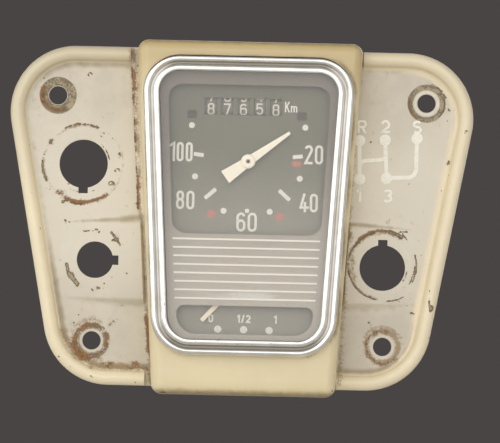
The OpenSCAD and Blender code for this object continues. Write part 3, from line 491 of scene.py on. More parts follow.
def gap_to(points, x, z):
    """Distance from each of x, z to the nearest of some points."""
    px, pz = numpy.array(points).T
    return numpy.sqrt(numpy.min((x[:, None] - px) ** 2 + (z[:, None] - pz) ** 2, axis=1))


def skin(loops, wrap=True):
    """Quads through equal closed loops, the last joined to the first, or else both ends capped."""
    n, m = len(loops[0]), len(loops)
    faces = [(i * n + j, i * n + (j + 1) % n, (i + 1) % m * n + (j + 1) % n, (i + 1) % m * n + j)
             for i in range(m if wrap else m - 1) for j in range(n)]
    if not wrap:
        faces += [tuple(range(n)), tuple(range((m - 1) * n, m * n))]
    return [p for loop in loops for p in loop], faces


def lathe(profile, x, z, n=48):
    """Turned solid about an axis along y: profile of (radius, y) points."""
    turns = [2 * math.pi * i / n for i in range(n)]
    loops = [[(x + r * math.cos(a), y, z + r * math.sin(a)) for a in turns] for r, y in profile]
    return skin(loops, False)


def thread(x, z, root, crest, y0, y1, pitch, n=40):
    """Helical thread sleeve that fades at both ends."""
    rows = round((y1 - y0) / pitch * 8)
    turns = [2 * math.pi * j / n for j in range(n)]
    loops = []
    for i in range(rows + 1):
        y = y0 + (y1 - y0) * i / rows
        fade = min(1.0, min(y - y0, y1 - y) / (0.6 * pitch))
        ring = []
        for j, a in enumerate(turns):
            k = (y / pitch - j / n) % 1.0
            r = root + (crest - root) * fade * (1 - abs(2 * k - 1))
            ring.append((x + r * math.cos(a), y, z + r * math.sin(a)))
        loops.append(ring)
    core = root - 0.1
    inner = [[(x + core * math.cos(a), y, z + core * math.sin(a)) for a in turns] for y in (y1, y0)]
    return skin(loops + inner)


def joined(*parts):
    """Several meshes as one list of points and faces."""
    points, faces = [], []
    for p, f in parts:
        faces += [tuple(i + len(points) for i in face) for face in f]
        points += p
    return points, faces


def sheet(outer, holes, inner, front, back, lip, steps):
    """Closed plate between depths front(x, z) and back(x, z), with holes, its edges rounded by lip."""
    flat, edges = [], []
    for loop in [outer] + holes:
        edges += [(len(flat) + i, len(flat) + (i + 1) % len(loop)) for i in range(len(loop))]
        flat += loop
    found, _, tris, *_ = delaunay_2d_cdt([Vector(p) for p in flat + inner], edges, [], 0, 1e-5)
    x, z = numpy.array([tuple(p) for p in found]).T
    tris = numpy.array(tris)
    cx, cz = x[tris].mean(axis=1), z[tris].mean(axis=1)
    keep = inside(outer, cx, cz)
    for hole in holes:
        keep &= ~inside(hole, cx, cz)
    bm = bmesh.new()
    top = [bm.verts.new(p) for p in zip(x, front(x, z), z)]
    low = [bm.verts.new(p) for p in zip(x, back(x, z), z)]
    seen = {}
    for a, b, c in tris[keep].tolist():
        bm.faces.new((top[a], top[b], top[c]))
        bm.faces.new((low[c], low[b], low[a]))
        for e in ((a, b), (b, c), (c, a)):
            seen[tuple(sorted(e))] = seen.get(tuple(sorted(e)), 0) + 1
    sharp = []
    for (a, b), k in seen.items():
        if k == 1:
            bm.faces.new((top[a], top[b], low[b], low[a]))
            sharp += [bm.edges.get((top[a], top[b])), bm.edges.get((low[a], low[b]))]
    bmesh.ops.delete(bm, geom=[v for v in bm.verts if not v.link_faces], context="VERTS")
    bmesh.ops.recalc_face_normals(bm, faces=bm.faces)
    bmesh.ops.bevel(bm, geom=sharp, offset=lip, segments=steps, profile=0.5, affect="EDGES",
                    clamp_overlap=True)
    bm.verts.index_update()
    points = [tuple(v.co) for v in bm.verts]
    faces = [tuple(v.index for v in f.verts) for f in bm.faces]
    bm.free()
    return points, faces


def prism(outline, y0, y1, chamfer):
    """Flat bar of a convex outline from y0 at the front to y1, its front edges chamfered."""
    n = len(outline)
    inner = []
    for i, (x, z) in enumerate(outline):
        (ax, az), (bx, bz) = outline[i - 1], outline[(i + 1) % n]
        ua, ub = Vector((x - ax, z - az)).normalized(), Vector((bx - x, bz - z)).normalized()
        na, nb = Vector((-ua.y, ua.x)), Vector((-ub.y, ub.x))
        move = (na + nb) / max(0.4, 1 + na.dot(nb)) * chamfer
        inner.append((x + move.x, z + move.y))
    loops = [[(x, y1, z) for x, z in outline], [(x, y0 + chamfer, z) for x, z in outline],
             [(x, y0, z) for x, z in inner]]
    return skin(loops, False)


def turned(points, degrees, x, z):
    """Points turned about the origin and then moved."""
    c, s = math.cos(math.radians(degrees)), math.sin(math.radians(degrees))
    return [(x + u * c - v * s, z + u * s + v * c) for u, v in points]


def smoothed(mesh, angle, weld=False):
    """Turns a mesh's faces outwards and shades it smooth, but for edges over an angle in degrees."""
    bm = bmesh.new()
    bm.from_mesh(mesh)
    if weld:
        bmesh.ops.remove_doubles(bm, verts=bm.verts, dist=1e-6)
    bmesh.ops.recalc_face_normals(bm, faces=bm.faces)
    bm.to_mesh(mesh)
    bm.free()
    mesh.polygons.foreach_set("use_smooth", [True] * len(mesh.polygons))
    mesh.set_sharp_from_angle(angle=math.radians(angle))


def new_object(name, data):
    """Object of a mesh, lamp or camera, linked to the scene."""
    o = bpy.data.objects.new(name, data)
    bpy.context.scene.collection.objects.link(o)
    return o


def piece(name, mesh_parts, material, body="frame", replaces=(), dx=0.0, angle=SMOOTH_ANGLE,
          marks=None, uv=None):
    """Mesh object from points in millimetres, smoothed, with its attributes, tied to its body."""
    points, faces = mesh_parts
    mesh = bpy.data.meshes.new(name)
    mesh.from_pydata([((x + dx) * MM, y * MM, (z + MID_Z) * MM) for x, y, z in points], [], faces)
    smoothed(mesh, angle)
    for label, values in (marks or {}).items():
        layer = mesh.attributes.new(label, "FLOAT", "POINT")
        layer.data.foreach_set("value", numpy.asarray(values, dtype=numpy.float32))
    if uv:
        layer = mesh.uv_layers.new(name="run")
        corners = numpy.empty(len(mesh.loops), dtype=numpy.int32)
        mesh.loops.foreach_get("vertex_index", corners)
        layer.data.foreach_set("uv", numpy.asarray(uv, dtype=numpy.float32)[corners].ravel())
    mesh.materials.append(material)
    tied(new_object(name, mesh), body, replaces)


def tied(o, body, replaces):
    """Ties a finished object to its body and hides the CAD nodes that it stands for."""
    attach(o, body)
    if replaces:
        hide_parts(*replaces)


def copies(name, seats, tree_name, make, sizes, material, replaces, extra):
    """Repeats the solid that make() builds in a node tree at each seat, and leaves a plain mesh.

    seats are points in millimetres. sizes are the tree's named inputs in metres. extra holds a vector for
    each seat as "turn" (a rotation) or "scale".
    """
    tree = bpy.data.node_groups.new(tree_name, "GeometryNodeTree")
    tree.interface.new_socket("Geometry", in_out="INPUT", socket_type="NodeSocketGeometry")
    tree.interface.new_socket("Geometry", in_out="OUTPUT", socket_type="NodeSocketGeometry")
    for label in sizes:
        tree.interface.new_socket(label, in_out="INPUT", socket_type="NodeSocketFloat")
    given = add(tree, "NodeGroupInput")
    solid = make(tree, given.outputs)
    ins = {"Points": given.outputs[0], "Instance": solid}
    for label, socket in (("turn", "Rotation"), ("scale", "Scale")):
        if label in extra:
            held = add(tree, "GeometryNodeInputNamedAttribute", {0: label}, data_type="FLOAT_VECTOR")
            ins[socket] = held if label == "scale" else add(tree, "FunctionNodeEulerToRotation", {0: held})
    placed = add(tree, "GeometryNodeInstanceOnPoints", ins)
    real = add(tree, "GeometryNodeRealizeInstances", {0: placed})
    done = add(tree, "GeometryNodeSetMaterial", {0: real, "Material": material})
    add(tree, "NodeGroupOutput", {0: done})
    mesh = bpy.data.meshes.new(name)
    mesh.from_pydata([(x * MM, y * MM, (z + MID_Z) * MM) for x, y, z in seats], [], [])
    for label, values in extra.items():
        flat = [c for v in values for c in v]
        mesh.attributes.new(label, "FLOAT_VECTOR", "POINT").data.foreach_set("vector", flat)
    o = new_object(name, mesh)
    modifier = o.modifiers.new("copies", "NODES")
    modifier.node_group = tree
    for item in tree.interface.items_tree:
        if item.in_out == "INPUT" and item.name in sizes:
            modifier[item.identifier] = sizes[item.name]
    bpy.context.view_layer.update()
    plain = bpy.data.meshes.new_from_object(o.evaluated_get(bpy.context.evaluated_depsgraph_get()))
    if not plain.polygons:
        raise RuntimeError(f"{name} came out empty")
    o.modifiers.clear()
    o.data = plain
    plain.name = name
    smoothed(plain, SMOOTH_ANGLE, weld=True)
    tied(o, "frame", replaces)


def bar_solid(tree, given):
    """Box in a node tree, of the named Length, Height and Width."""
    size = add(tree, "ShaderNodeCombineXYZ", {0: given["Length"], 1: given["Height"], 2: given["Width"]})
    return add(tree, "GeometryNodeMeshCube", {0: size})


def dot_solid(tree, given):
    """Disc in a node tree, facing the front, of the named Radius and Height."""
    size = {"Vertices": 28, "Radius": given["Radius"], "Depth": given["Height"]}
    disc = add(tree, "GeometryNodeMeshCylinder", size)
    return add(tree, "GeometryNodeTransform", {0: disc, "Rotation": (math.pi / 2, 0, 0)})


def screw_solid(tree, given):
    """Slotted cheese head in a node tree, slightly tapered, on its shank, facing the back."""
    slim = add(tree, "ShaderNodeMath", {0: given["Head radius"], 1: 0.9}, operation="MULTIPLY")
    head = add(tree, "GeometryNodeMeshCone", {
        "Vertices": 36, "Radius Top": slim, "Radius Bottom": given["Head radius"],
        "Depth": given["Head height"]})
    cut = add(tree, "ShaderNodeCombineXYZ", {0: 0.02, 1: given["Slot"], 2: given["Head height"]})
    slot = add(tree, "GeometryNodeMeshCube", {0: cut})
    lift = add(tree, "ShaderNodeCombineXYZ", {2: given["Head height"]})
    slot = add(tree, "GeometryNodeTransform", {0: slot, "Translation": lift})
    head = add(tree, "GeometryNodeMeshBoolean", {"Mesh 1": head, "Mesh 2": slot},
               operation="DIFFERENCE", solver="EXACT")
    shank = add(tree, "GeometryNodeMeshCylinder", {
        "Vertices": 24, "Radius": given["Shank radius"], "Depth": given["Shank"]})
    half = add(tree, "ShaderNodeMath", {0: given["Shank"], 1: -0.5}, operation="MULTIPLY")
    down = add(tree, "ShaderNodeCombineXYZ", {2: half})
    shank = add(tree, "GeometryNodeTransform", {0: shank, "Translation": down})
    whole = add(tree, "GeometryNodeJoinGeometry", {0: head})
    tree.links.new(shank.outputs[0], whole.inputs[0])
    return add(tree, "GeometryNodeTransform", {0: whole, "Rotation": (-math.pi / 2, 0, 0)})


def loop_between(low, high, h, q, round_x):
    """Closed upright loop of half width h, its corners rounded by round_x of h across and q up."""
    q, c = min(q, (high - low) / 2), h * round_x
    e = h - c
    return (curve(e, high - q, c, q, 0, 90) + curve(-e, high - q, c, q, 90, 180)
            + curve(-e, low + q, c, q, 180, 270) + curve(e, low + q, c, q, 270, 360))


def glyph(char, w, s, round_x=1.0):
    """Strokes of a condensed sign, 1 tall and w wide, drawn with a pen of width s: (points, closed) pairs."""
    h, low, top = (w - s) / 2, s / 2, 1 - s / 2
    q = min(h * 1.15, 0.3) * (0.35 + 0.65 * round_x)
    if char == "0":
        return [(loop_between(low, top, h, q, round_x), True)]
    if char == "1":
        return [([(-0.2, top - 0.16), (0.06, top), (0.06, 0)], False)]
    if char == "2":
        return [(curve(0, top - q, h, q, 165, -25) + [(-h, low), (h + s / 2, low)], False)]
    if char == "3":
        u, v = (top - 0.54) / 2, (0.54 - low) / 2
        return [(curve(0, top - u, h, u, 150, -90), False), (curve(0, low + v, h, v, 90, -150), False)]
    if char == "4":
        return [([(h * 0.3, 1.0), (-h, 0.25), (h + s, 0.25)], False),
                ([(h * 0.5, 0.55), (h * 0.5, 0.0)], False)]
    if char == "5":
        v = (0.62 - low) / 2
        return [([(h, top), (-h * 0.9, top), (-h, 0.52)] + curve(0, low + v, h, v, 130, -150), False)]
    if char in "69":
        strokes = [(curve(0, top - q, h, q, 20, 180) + [(-h, low + q)], False),
                   (loop_between(low, 0.58, h, q, round_x), True)]
        if char == "9":
            strokes = [([(-x, 1 - z) for x, z in line], shut) for line, shut in strokes]
        return strokes
    if char == "7":
        return [([(-h - s / 2, top), (h, top), (-0.06, 0)], False)]
    if char == "8":
        return [(loop_between(0.53, top, h * 0.92, q, round_x), True),
                (loop_between(low, 0.53, h, q, round_x), True)]
    if char == "K":
        return [([(-h, 0), (-h, 1)], False), ([(h, 1), (-h, 0.4)], False),
                ([(-h * 0.4, 0.58), (h, 0)], False)]
    if char == "m":
        x = 0.62 - s / 2 - h / 2
        return [([(-h, 0), (-h, 0.62)], False), (curve(-h / 2, x, h / 2, h / 2, 180, 0) + [(0, 0)], False),
                (curve(h / 2, x, h / 2, h / 2, 180, 0) + [(h, 0)], False)]
    if char == "R":
        u = (top - 0.46) / 2
        bowl = [(-h, top)] + curve(h * 0.2, top - u, h * 0.8, u, 90, -90) + [(-h, 0.46)]
        return [([(-h, 0), (-h, top)], False), (bowl, False), ([(0, 0.46), (h, 0)], False)]
    if char == "S":
        u, v = (top - 0.52) / 2, (0.52 - low) / 2
        return [(curve(0, top - u, h, u, 35, 270) + curve(0, low + v, h, v, 90, -145), False)]
    if char == "/":
        return [([(-h, 0), (h, 1)], False)]
    raise ValueError(f"no sign for {char}")


SIGN_WIDTH = {"1": 0.55, "/": 0.7, "m": 1.3}


def lettering(words, x0, x1, z0, height, pen, gap, round_x=1.0):
    """Strokes of words set between x0 and x1: (points, closed, pen) triples in millimetres."""
    shares = [SIGN_WIDTH.get(c, 1.0) for c in words]
    unit = (x1 - x0 - gap * (len(words) - 1)) / sum(shares)
    out, x = [], x0
    for c, share in zip(words, shares):
        w = unit * share
        for line, shut in glyph(c, w / height, pen / height, round_x):
            out.append(([(x + w / 2 + u * height, z0 + v * height) for u, v in line], shut, pen))
        x += w + gap
    return out


def inked(strokes, place, thick, step=0.6):
    """Thin raised solids along strokes, each a little higher than the last so that none lie in one plane.

    place(u, v, t) puts a flat point at height t over its surface.
    """
    parts = []
    for k, (line, shut, pen) in enumerate(strokes):
        top = thick * (1 + 0.12 * (k % 5))
        line = [p for i, p in enumerate(line) if not i or math.dist(p, line[i - 1]) > 1e-4]
        if shut and math.dist(line[0], line[-1]) < 1e-4:
            line.pop()
        line = spaced(line, step, shut)
        n = len(line)
        rows = []
        for i, (u, v) in enumerate(line):
            a = line[i - 1] if shut or i else line[i]
            b = line[(i + 1) % n] if shut or i < n - 1 else line[i]
            before, after = Vector((u - a[0], v - a[1])), Vector((b[0] - u, b[1] - v))
            before, after = (before or after).normalized(), (after or before).normalized()
            side = Vector((-before.y - after.y, before.x + after.x))
            side = side / max(0.5, 1 + before.dot(after)) * pen / 2
            rows.append([(u + side.x, v + side.y), (u - side.x, v - side.y)])
        loops = [[place(*l, top), place(*r, top), place(*r, -0.02), place(*l, -0.02)] for l, r in rows]
        parts.append(skin(loops, shut))
    return joined(*parts)


def marked(x, z, table):
    """Weight from 0 to 1 of listed marks: arcs and bands round a hole, spots and strokes.

    A table holds marks by kind, each with its strength first. Sizes are in millimetres, angles in degrees.
    """
    out = numpy.zeros(len(x))
    for kind, strength, *v in ((kind, *mark) for kind, marks in table.items() for mark in marks):
        if kind == "arc":
            cx, cz, r, wide, a0, a1 = v
            turn = numpy.degrees(numpy.arctan2(z - cz, x - cx))
            past = numpy.abs((turn - (a0 + a1) / 2 + 180) % 360 - 180) - (a1 - a0) / 2
            off = (numpy.hypot(x - cx, z - cz) - r) / wide
            w = numpy.exp(-off ** 2) * numpy.exp(-(numpy.maximum(past, 0) / 9) ** 2)
        elif kind == "band":
            cx, cz, r0, r1 = v
            far = numpy.hypot(x - cx, z - cz)
            w = numpy.clip((far - r0) / 0.5 + 0.5, 0, 1) * numpy.clip((r1 - far) / 0.5 + 0.5, 0, 1)
        elif kind == "spot":
            cx, cz, rx, rz, a = v
            u = (x - cx) * math.cos(math.radians(a)) + (z - cz) * math.sin(math.radians(a))
            k = (z - cz) * math.cos(math.radians(a)) - (x - cx) * math.sin(math.radians(a))
            w = numpy.exp(-(u / rx) ** 2 - (k / rz) ** 2)
        else:
            x0, z0, x1, z1, wide = v
            run = ((x - x0) * (x1 - x0) + (z - z0) * (z1 - z0)) / ((x1 - x0) ** 2 + (z1 - z0) ** 2)
            run = numpy.clip(run, 0, 1)
            w = numpy.exp(-(numpy.hypot(x - x0 - run * (x1 - x0), z - z0 - run * (z1 - z0)) / wide) ** 2)
        out = numpy.maximum(out, strength * w)
    return out


RUST_MARKS = {
    "arc": ((0.5, 55.35, -47.6, 6.0, 1.0, 75, 255), (0.42, 55.35, -47.6, 6.4, 0.9, 255, 330),
        (0.8, -70.15, 45.4, 5.9, 1.1, 150, 205), (0.62, -70.15, 45.4, 5.6, 1.2, 205, 300),
        (0.66, -55.35, -47.6, 6.0, 1.4, 75, 200), (0.74, -55.35, -47.6, 6.6, 1.7, 185, 262),
        (0.6, -55.35, -47.6, 5.8, 1.4, -100, 80), (0.95, -59.85, 19.55, 14.7, 0.95, 247, 268),
        (0.9, -59.85, 19.55, 14.4, 0.7, 265, 303), (0.85, 54.7, -16.6, 13.3, 0.8, 93, 132),
        (0.62, 54.7, -16.6, 13.0, 0.6, 60, 95), (0.58, 70.15, 45.4, 6.6, 0.8, 165, 235)),
    "line": ((0.5, -48.9, -41.6, -46.1, -39.6, 0.5), (0.95, -41.7, 55.3, -41.2, 48.6, 0.75),
        (0.6, -41.2, 47.7, -40.7, 38.8, 0.35), (0.78, -39.2, 15.4, -38.6, 3.1, 0.7),
        (0.55, -40.3, 33.8, -39.4, 16.1, 0.3), (0.95, -34.7, -37.7, -33.4, -50.9, 0.75),
        (0.6, -33.4, -50.9, -32.7, -54.7, 0.8), (0.5, -41.1, -57.8, -32.9, -57.9, 1.0),
        (0.5, -61.3, -51.8, -57.7, -54.5, 0.8)),
    "spot": ((0.7, -67.8, 42.3, 0.8, 0.5, 30), (0.66, -68.5, 8.3, 1.6, 0.9, -15),
        (0.6, -49.1, 12.2, 1.2, 0.6, 20), (0.75, -40.6, 36, 0.5, 2.2, 0), (0.6, -38, -55.8, 3.0, 1.0, 0),
        (0.5, -48.8, -56.8, 1.2, 1.0, 0)),
}
CHIP_MARKS = {
    "arc": ((0.66, -59.85, 19.55, 15.3, 0.5, 92, 121), (0.62, -59.85, 19.55, 14.9, 0.6, 75, 92),
        (0.62, -53, 30.8, 0.8, 0.3, 30, 300), (0.56, -74.2, 23.1, 0.9, 0.3, 90, 260),
        (0.7, -59.85, 19.55, 15.6, 0.6, 180, 200), (0.62, -59.85, 19.55, 15.4, 0.5, 246, 262),
        (0.5, -59.85, 19.55, 10.9, 0.3, 245, 292), (0.55, -59.85, 19.55, 10.1, 0.25, 14, 46),
        (0.66, -47, 17.1, 0.9, 0.32, -20, 200), (0.74, -49.1, 12.2, 0.9, 0.35, 20, 220),
        (0.7, -58, 53.5, 0.7, 0.35, -40, 220), (0.66, -48.3, -56.8, 0.9, 0.35, 0, 300),
        (0.8, 54.7, -16.6, 13.5, 0.4, 58, 80), (0.8, 54.7, -16.6, 12.5, 0.34, 60, 76),
        (0.74, 54.7, -16.6, 12.7, 0.34, 108, 140), (0.7, 54.7, -16.6, 13.1, 0.3, 140, 196),
        (0.82, 54.7, -16.6, 13.1, 0.36, 196, 252), (0.86, 54.7, -16.6, 13.0, 0.34, -26, 14),
        (0.78, 54.7, -16.6, 12.3, 0.3, -28, -6), (0.66, 54.7, -17.55, 9.3, 0.3, -28, 8),
        (0.6, 54.7, -16.6, 13.2, 0.4, 238, 255), (0.6, 70.15, 45.4, 7.4, 0.6, 20, 80),
        (0.56, 70.15, 45.4, 7.0, 0.5, -40, 10)),
    "line": ((0.48, -42.3, 57.1, -38.8, 2.8, 0.28), (0.6, -66.4, -2.1, -64.5, -2.7, 0.4),
        (0.64, -59.3, -6.1, -57.2, -5.9, 0.5), (0.78, -48.7, -6.4, -46.8, -8.6, 0.65),
        (0.8, -46.8, -8.6, -45.3, -10.9, 0.55), (0.75, -48.2, -9.3, -46.1, -9, 0.6),
        (0.8, -65.5, -18.6, -64.4, -22.7, 0.7), (1.0, -64.3, -22.4, -61.4, -25.9, 1.05),
        (0.7, 61.1, -3.7, 64, -3.7, 0.3), (0.7, 62.4, -4.6, 63.7, -6.5, 0.35),
        (0.66, 56.4, -30.3, 61, -29.5, 0.35), (0.66, 61, -29.5, 63.1, -28.3, 0.3),
        (0.6, 61.3, -30, 62.7, -30.4, 0.35), (0.56, 49, -39.9, 50.3, -38.1, 0.3)),
    "spot": ((0.6, -49.1, 29.4, 0.7, 0.4, -40), (0.8, -72.4, 27.8, 0.8, 1.6, -35),
        (0.62, -72.3, 9.7, 0.5, 0.5, 0), (0.66, -69.5, 8.8, 0.7, 0.5, -20),
        (0.66, -67.1, 7.7, 0.6, 0.4, 20), (1.0, -67.4, 5.1, 0.75, 0.75, 0),
        (0.7, -46.3, 23.6, 0.6, 0.8, 0), (0.66, -45.6, 21.1, 0.6, 0.4, 0), (0.5, -52.9, 37.5, 0.6, 0.6, 0),
        (0.8, -53.4, 2.1, 0.35, 0.35, 0), (0.8, -64.9, 60.4, 0.3, 0.3, 0), (0.75, -81.5, 8.1, 0.5, 0.8, 0),
        (0.6, -78.8, -1.5, 0.5, 0.5, 0), (0.75, -54.5, -5.4, 1.0, 0.5, 0),
        (0.75, -53.4, -6.4, 0.8, 0.5, 30), (0.7, -55.8, -6, 0.6, 0.4, 0),
        (0.66, -44.3, -10.8, 0.4, 0.3, 0), (0.75, -55.7, -28.2, 0.6, 0.4, 0),
        (0.85, -53.3, -27.6, 0.8, 0.5, 0), (0.6, -51.1, -27.8, 0.4, 0.3, 0),
        (0.7, -51, -25.8, 0.4, 0.4, 0), (0.7, -48.1, -23.4, 0.35, 0.35, 0),
        (0.75, -41.4, -19.6, 0.4, 0.35, 0), (0.75, -42.4, -21.7, 0.4, 0.5, 0),
        (0.6, -69.6, -28.1, 0.35, 0.35, 0), (0.6, -62.2, -41.2, 0.5, 0.5, 0),
        (0.75, -39.4, -47.9, 0.35, 1.2, 10), (0.7, -50.9, -56.4, 0.7, 0.5, 0),
        (0.6, -44.5, -55.2, 0.5, 0.4, 0), (0.6, -56.3, -60.5, 0.9, 0.4, -30),
        (0.6, -54.7, -61.4, 0.8, 0.5, 20), (0.66, -59.8, -59.5, 0.5, 0.4, 0),
        (0.6, -38.3, -63.2, 0.4, 0.4, 0), (0.66, -67.4, -54.2, 0.5, 0.5, 0),
        (0.75, 64.5, -31.5, 0.5, 0.35, 20), (0.7, 65.4, -31.3, 0.4, 0.35, 0),
        (0.7, 65.7, -29, 0.3, 0.3, 0), (0.9, 66.4, -34.6, 1.0, 0.45, -25), (0.7, 63.2, -35.3, 0.3, 0.6, 0),
        (0.7, 64.9, -37.3, 0.35, 0.35, 0), (0.7, 69.4, -12.4, 0.4, 0.4, 0),
        (1.0, 73.5, -32.6, 1.0, 1.3, 15), (0.8, 72.8, -29.9, 0.5, 0.9, 0),
        (0.75, 72.8, -27.5, 0.4, 0.4, 0), (0.7, 72.9, -25.4, 0.4, 0.35, 0), (0.66, 73, -43.4, 0.5, 0.5, 0),
        (0.8, 85.6, 35.4, 0.9, 0.45, 0), (0.85, 78.7, 23, 0.9, 0.9, 30), (0.7, 76.5, 12.3, 0.6, 0.5, 0),
        (0.66, 78.2, 39, 0.5, 0.6, 0), (0.6, 78.7, 43.1, 0.4, 0.8, 0), (0.8, 55.4, 56.3, 0.5, 0.5, 0),
        (0.66, 69.2, 54.1, 0.4, 0.6, 0), (0.66, 45.4, 44.3, 0.5, 0.4, 0), (0.66, 49.2, 30.2, 0.35, 0.7, 0),
        (0.66, 74.5, 17.8, 0.4, 0.4, 0), (0.6, 72.2, 35.1, 0.35, 0.35, 0)),
}
STAIN_AND_SHADE_MARKS = {
    "arc": ((0.5, -55.35, -47.6, 7.6, 1.8, 60, 300), (0.62, 54.7, -16.6, 12.9, 0.7, 140, 258),
        (0.6, 54.7, -16.6, 12.6, 1.1, 60, 140), (0.62, -59.85, 19.55, 14.8, 1.1, 240, 306),
        (0.62, -59.85, 19.55, 14.7, 0.7, 74, 122), (0.6, -59.85, 19.55, 15.3, 0.8, 178, 202),
        (0.36, -59.85, 19.55, 15.0, 0.5, 0, 360), (0.8, 55.35, -47.6, 6.0, 1.3, 0, 360),
        (0.55, 55.35, -47.6, 7.6, 0.9, 30, 150)),
    # Most lines run beside the housing: there they are soiling together with painted shade between the panel
    # and the housing.
    "line": ((0.55, -40.9, 59.1, -37.8, -0.4, 0.9), (0.35, -36.6, -2, -35, -33, 1.2),
        (0.6, -34.6, -34.5, -32.3, -57.2, 1.6), (0.66, -55.1, -57, -32.9, -57.2, 1.8),
        (0.6, -66.3, -44.3, -60.9, -54.3, 1.6), (0.8, -42.1, 62.9, -41.7, 59.4, 1.4),
        (0.8, -32.5, -59.8, -32.2, -63.2, 1.4), (0.5, 44, 62, 39, -62, 1.4),
        (0.5, 42, -1.1, 44, -22.6, 1.4)),
    "spot": ((0.7, -72.3, 27.7, 1.3, 1.9, -35), (0.66, -68.5, 8.3, 2.2, 1.3, -15),
        (0.5, -46.1, 22.8, 0.9, 1.4, 0), (0.6, -48.9, 12.1, 1.4, 0.9, 0), (0.5, -46.8, -8.4, 1.6, 1.6, 0),
        (0.6, -63.1, -23.3, 1.0, 3.0, 25), (0.5, 56.6, 0.3, 0.7, 1.6, 0)),
}
PALE_MARKS = {
    "arc": ((0.42, -70.15, 45.4, 4.2, 0.6, -60, 90), (0.62, 70.15, 45.4, 4.3, 0.7, 0, 360),
        (0.42, -55.35, -47.6, 4.2, 0.5, 220, 420), (0.55, 55.35, -47.6, 4.2, 0.6, 0, 360),
        (0.3, -59.85, 19.55, 12.4, 1.6, 0, 360), (0.3, -54.7, -16.85, 8.8, 1.2, 0, 360),
        (0.36, 54.7, -16.6, 10.6, 1.4, 0, 360)),
}
RING_MARKS = {
    "band": ((0.95, -70.15, 45.4, 3.6, 7.0), (0.95, 70.15, 45.4, 5.2, 7.3), (0.5, -55.35, -47.6, 4.4, 7.2)),
}
# Painted shade along the folds of the switch pads, with soiling in them.
FOLD_SHADE_MARKS = {
    "line": ((0.8, -45, -1.1, -37.4, -0.4, 1.7), (0.72, -53, -1.7, -45, -1.1, 1.1),
        (0.6, -60, -2.2, -53, -1.7, 0.8), (0.45, -66, -2.6, -60, -2.2, 0.6), (0.8, 42, -1, 52, -1.7, 1.0),
        (0.65, 52, -1.7, 58, -2.2, 0.8), (0.45, 58, -2.2, 65, -2.7, 0.6),
        (0.36, -59, -32.6, -37, -34.2, 1.4), (0.42, 42, -34, 60, -32.8, 1.4)),
}
# Where soiling and painted shade along the rim's foot are strongest.
FOOT_MARKS = {
    "line": ((0.9, 38, -58, 62, -57, 6.0), (0.7, 62, -57, 69, -47, 4.0), (1.0, -76, -25, -60, -56, 12.0),
        (1.0, -60, -56, -35, -58, 8.0), (0.6, -70, 58, -44, 58, 8.0)),
}


def housing_side(z):
    """Half width of the housing at a height."""
    h = bpy.context.scene.speedometer_housing
    return h.width / MM / 2 + z * math.tan(h.lean)


def wing_ends(sign):
    """Where the rim of the right (1) or left (-1) wing stops beside the housing, at its top and bottom."""
    tall = bpy.context.scene.speedometer_panel.height / MM / 2
    gap = RIGHT_GAP if sign > 0 else LEFT_GAP
    return [housing_side(z) + gap + sign * MID_X for z in (tall, -tall)]


def wing(d, sign):
    """Path of the rim round a wing at inset d, from top to bottom. The left one is drawn as on the right."""
    s = bpy.context.scene.speedometer_panel
    half, tall, corner = s.width / MM / 2, s.height / MM / 2, s.corner / MM
    slope, deg = math.tan(s.lean), math.degrees(s.lean)
    tx = half - corner / math.cos(s.lean) + (tall - corner) * slope
    bx = half - corner / math.cos(s.lean) - (tall - corner) * slope
    t = arc(tx, tall - corner, corner - d, 90, -deg, 26)
    b = arc(bx, corner - tall, corner - d, -deg, -90, 26)
    top_x, low_x = wing_ends(sign)
    first, last = (top_x, tall - d), (low_x, d - tall)
    side = divided(t[-1], b[0], 36)
    return [first] + divided(first, t[0], 12) + t + side + b + divided(b[-1], last, 12) + [last]


def rim_section(s):
    """Section of the rolled rim as (inset, depth) points, and the inset at which it meets the flat."""
    thick, crown = s.sheet / MM, s.rim / MM / 2
    spring = -thick - s.crest / MM + crown
    foot_r = 1.5
    turn = math.asin((spring + thick + foot_r) / (crown + foot_r))
    reach = crown + (crown + foot_r) * math.cos(turn)
    round_in = [(crown + crown * math.cos(a), spring - crown * math.sin(a))
                for a in (math.pi - (math.pi - turn) * i / 18 for i in range(19))]
    foot = [(reach + foot_r * math.cos(a), -thick - foot_r + foot_r * math.sin(a))
            for a in (math.pi - turn - (math.pi / 2 - turn) * i / 7 for i in range(1, 8))]
    hollow = [(crown + (crown - thick) * math.cos(a), spring - (crown - thick) * math.sin(a))
              for a in (math.pi * i / 12 for i in range(13))]
    section = ([(0.25, 0), (0.07, -0.07), (0, -0.25)] + round_in + foot
               + [(reach, -thick / 2), (2 * crown - thick, -thick / 2)] + hollow + [(thick, 0)])
    return section, reach


def seam_x(z):
    """Place of the seam beside the housing, on the left wing."""
    return SEAM_X + SEAM_SLOPE * z


def pad_end(x, z):
    """How far from the middle a switch pad begins, beside the housing."""
    return housing_side(z) + numpy.where(x > 0, MID_X + 0.2, 1.4 - MID_X)


def relief(x, z):
    """Depth of the seam beside the housing, less the height of the switch pads.

    A pad is full beside the housing, runs out to nothing and has 45 degree flanks.
    """
    rise = bpy.context.scene.speedometer_panel.pad / MM
    full = rise * numpy.clip((PAD_END - numpy.abs(x)) / PAD_RUN, 0, 1)
    ramp = numpy.minimum(PAD_TOP + full - z, z - PAD_LOW + full)
    above = lambda v: (v + numpy.sqrt(v * v + 0.12)) / 2
    beside = numpy.clip((numpy.abs(x) - pad_end(x, z)) / 0.8 + 0.5, 0, 1)
    pad = (above(ramp) - above(ramp - full)) * beside
    start, stop = numpy.clip((z - SEAM_LOW) / 1.5, 0, 1), numpy.clip((SEAM_HIGH - z) / 1.5, 0, 1)
    return 0.25 * numpy.exp(-((x - seam_x(z)) / 0.3) ** 2) * start * stop - pad


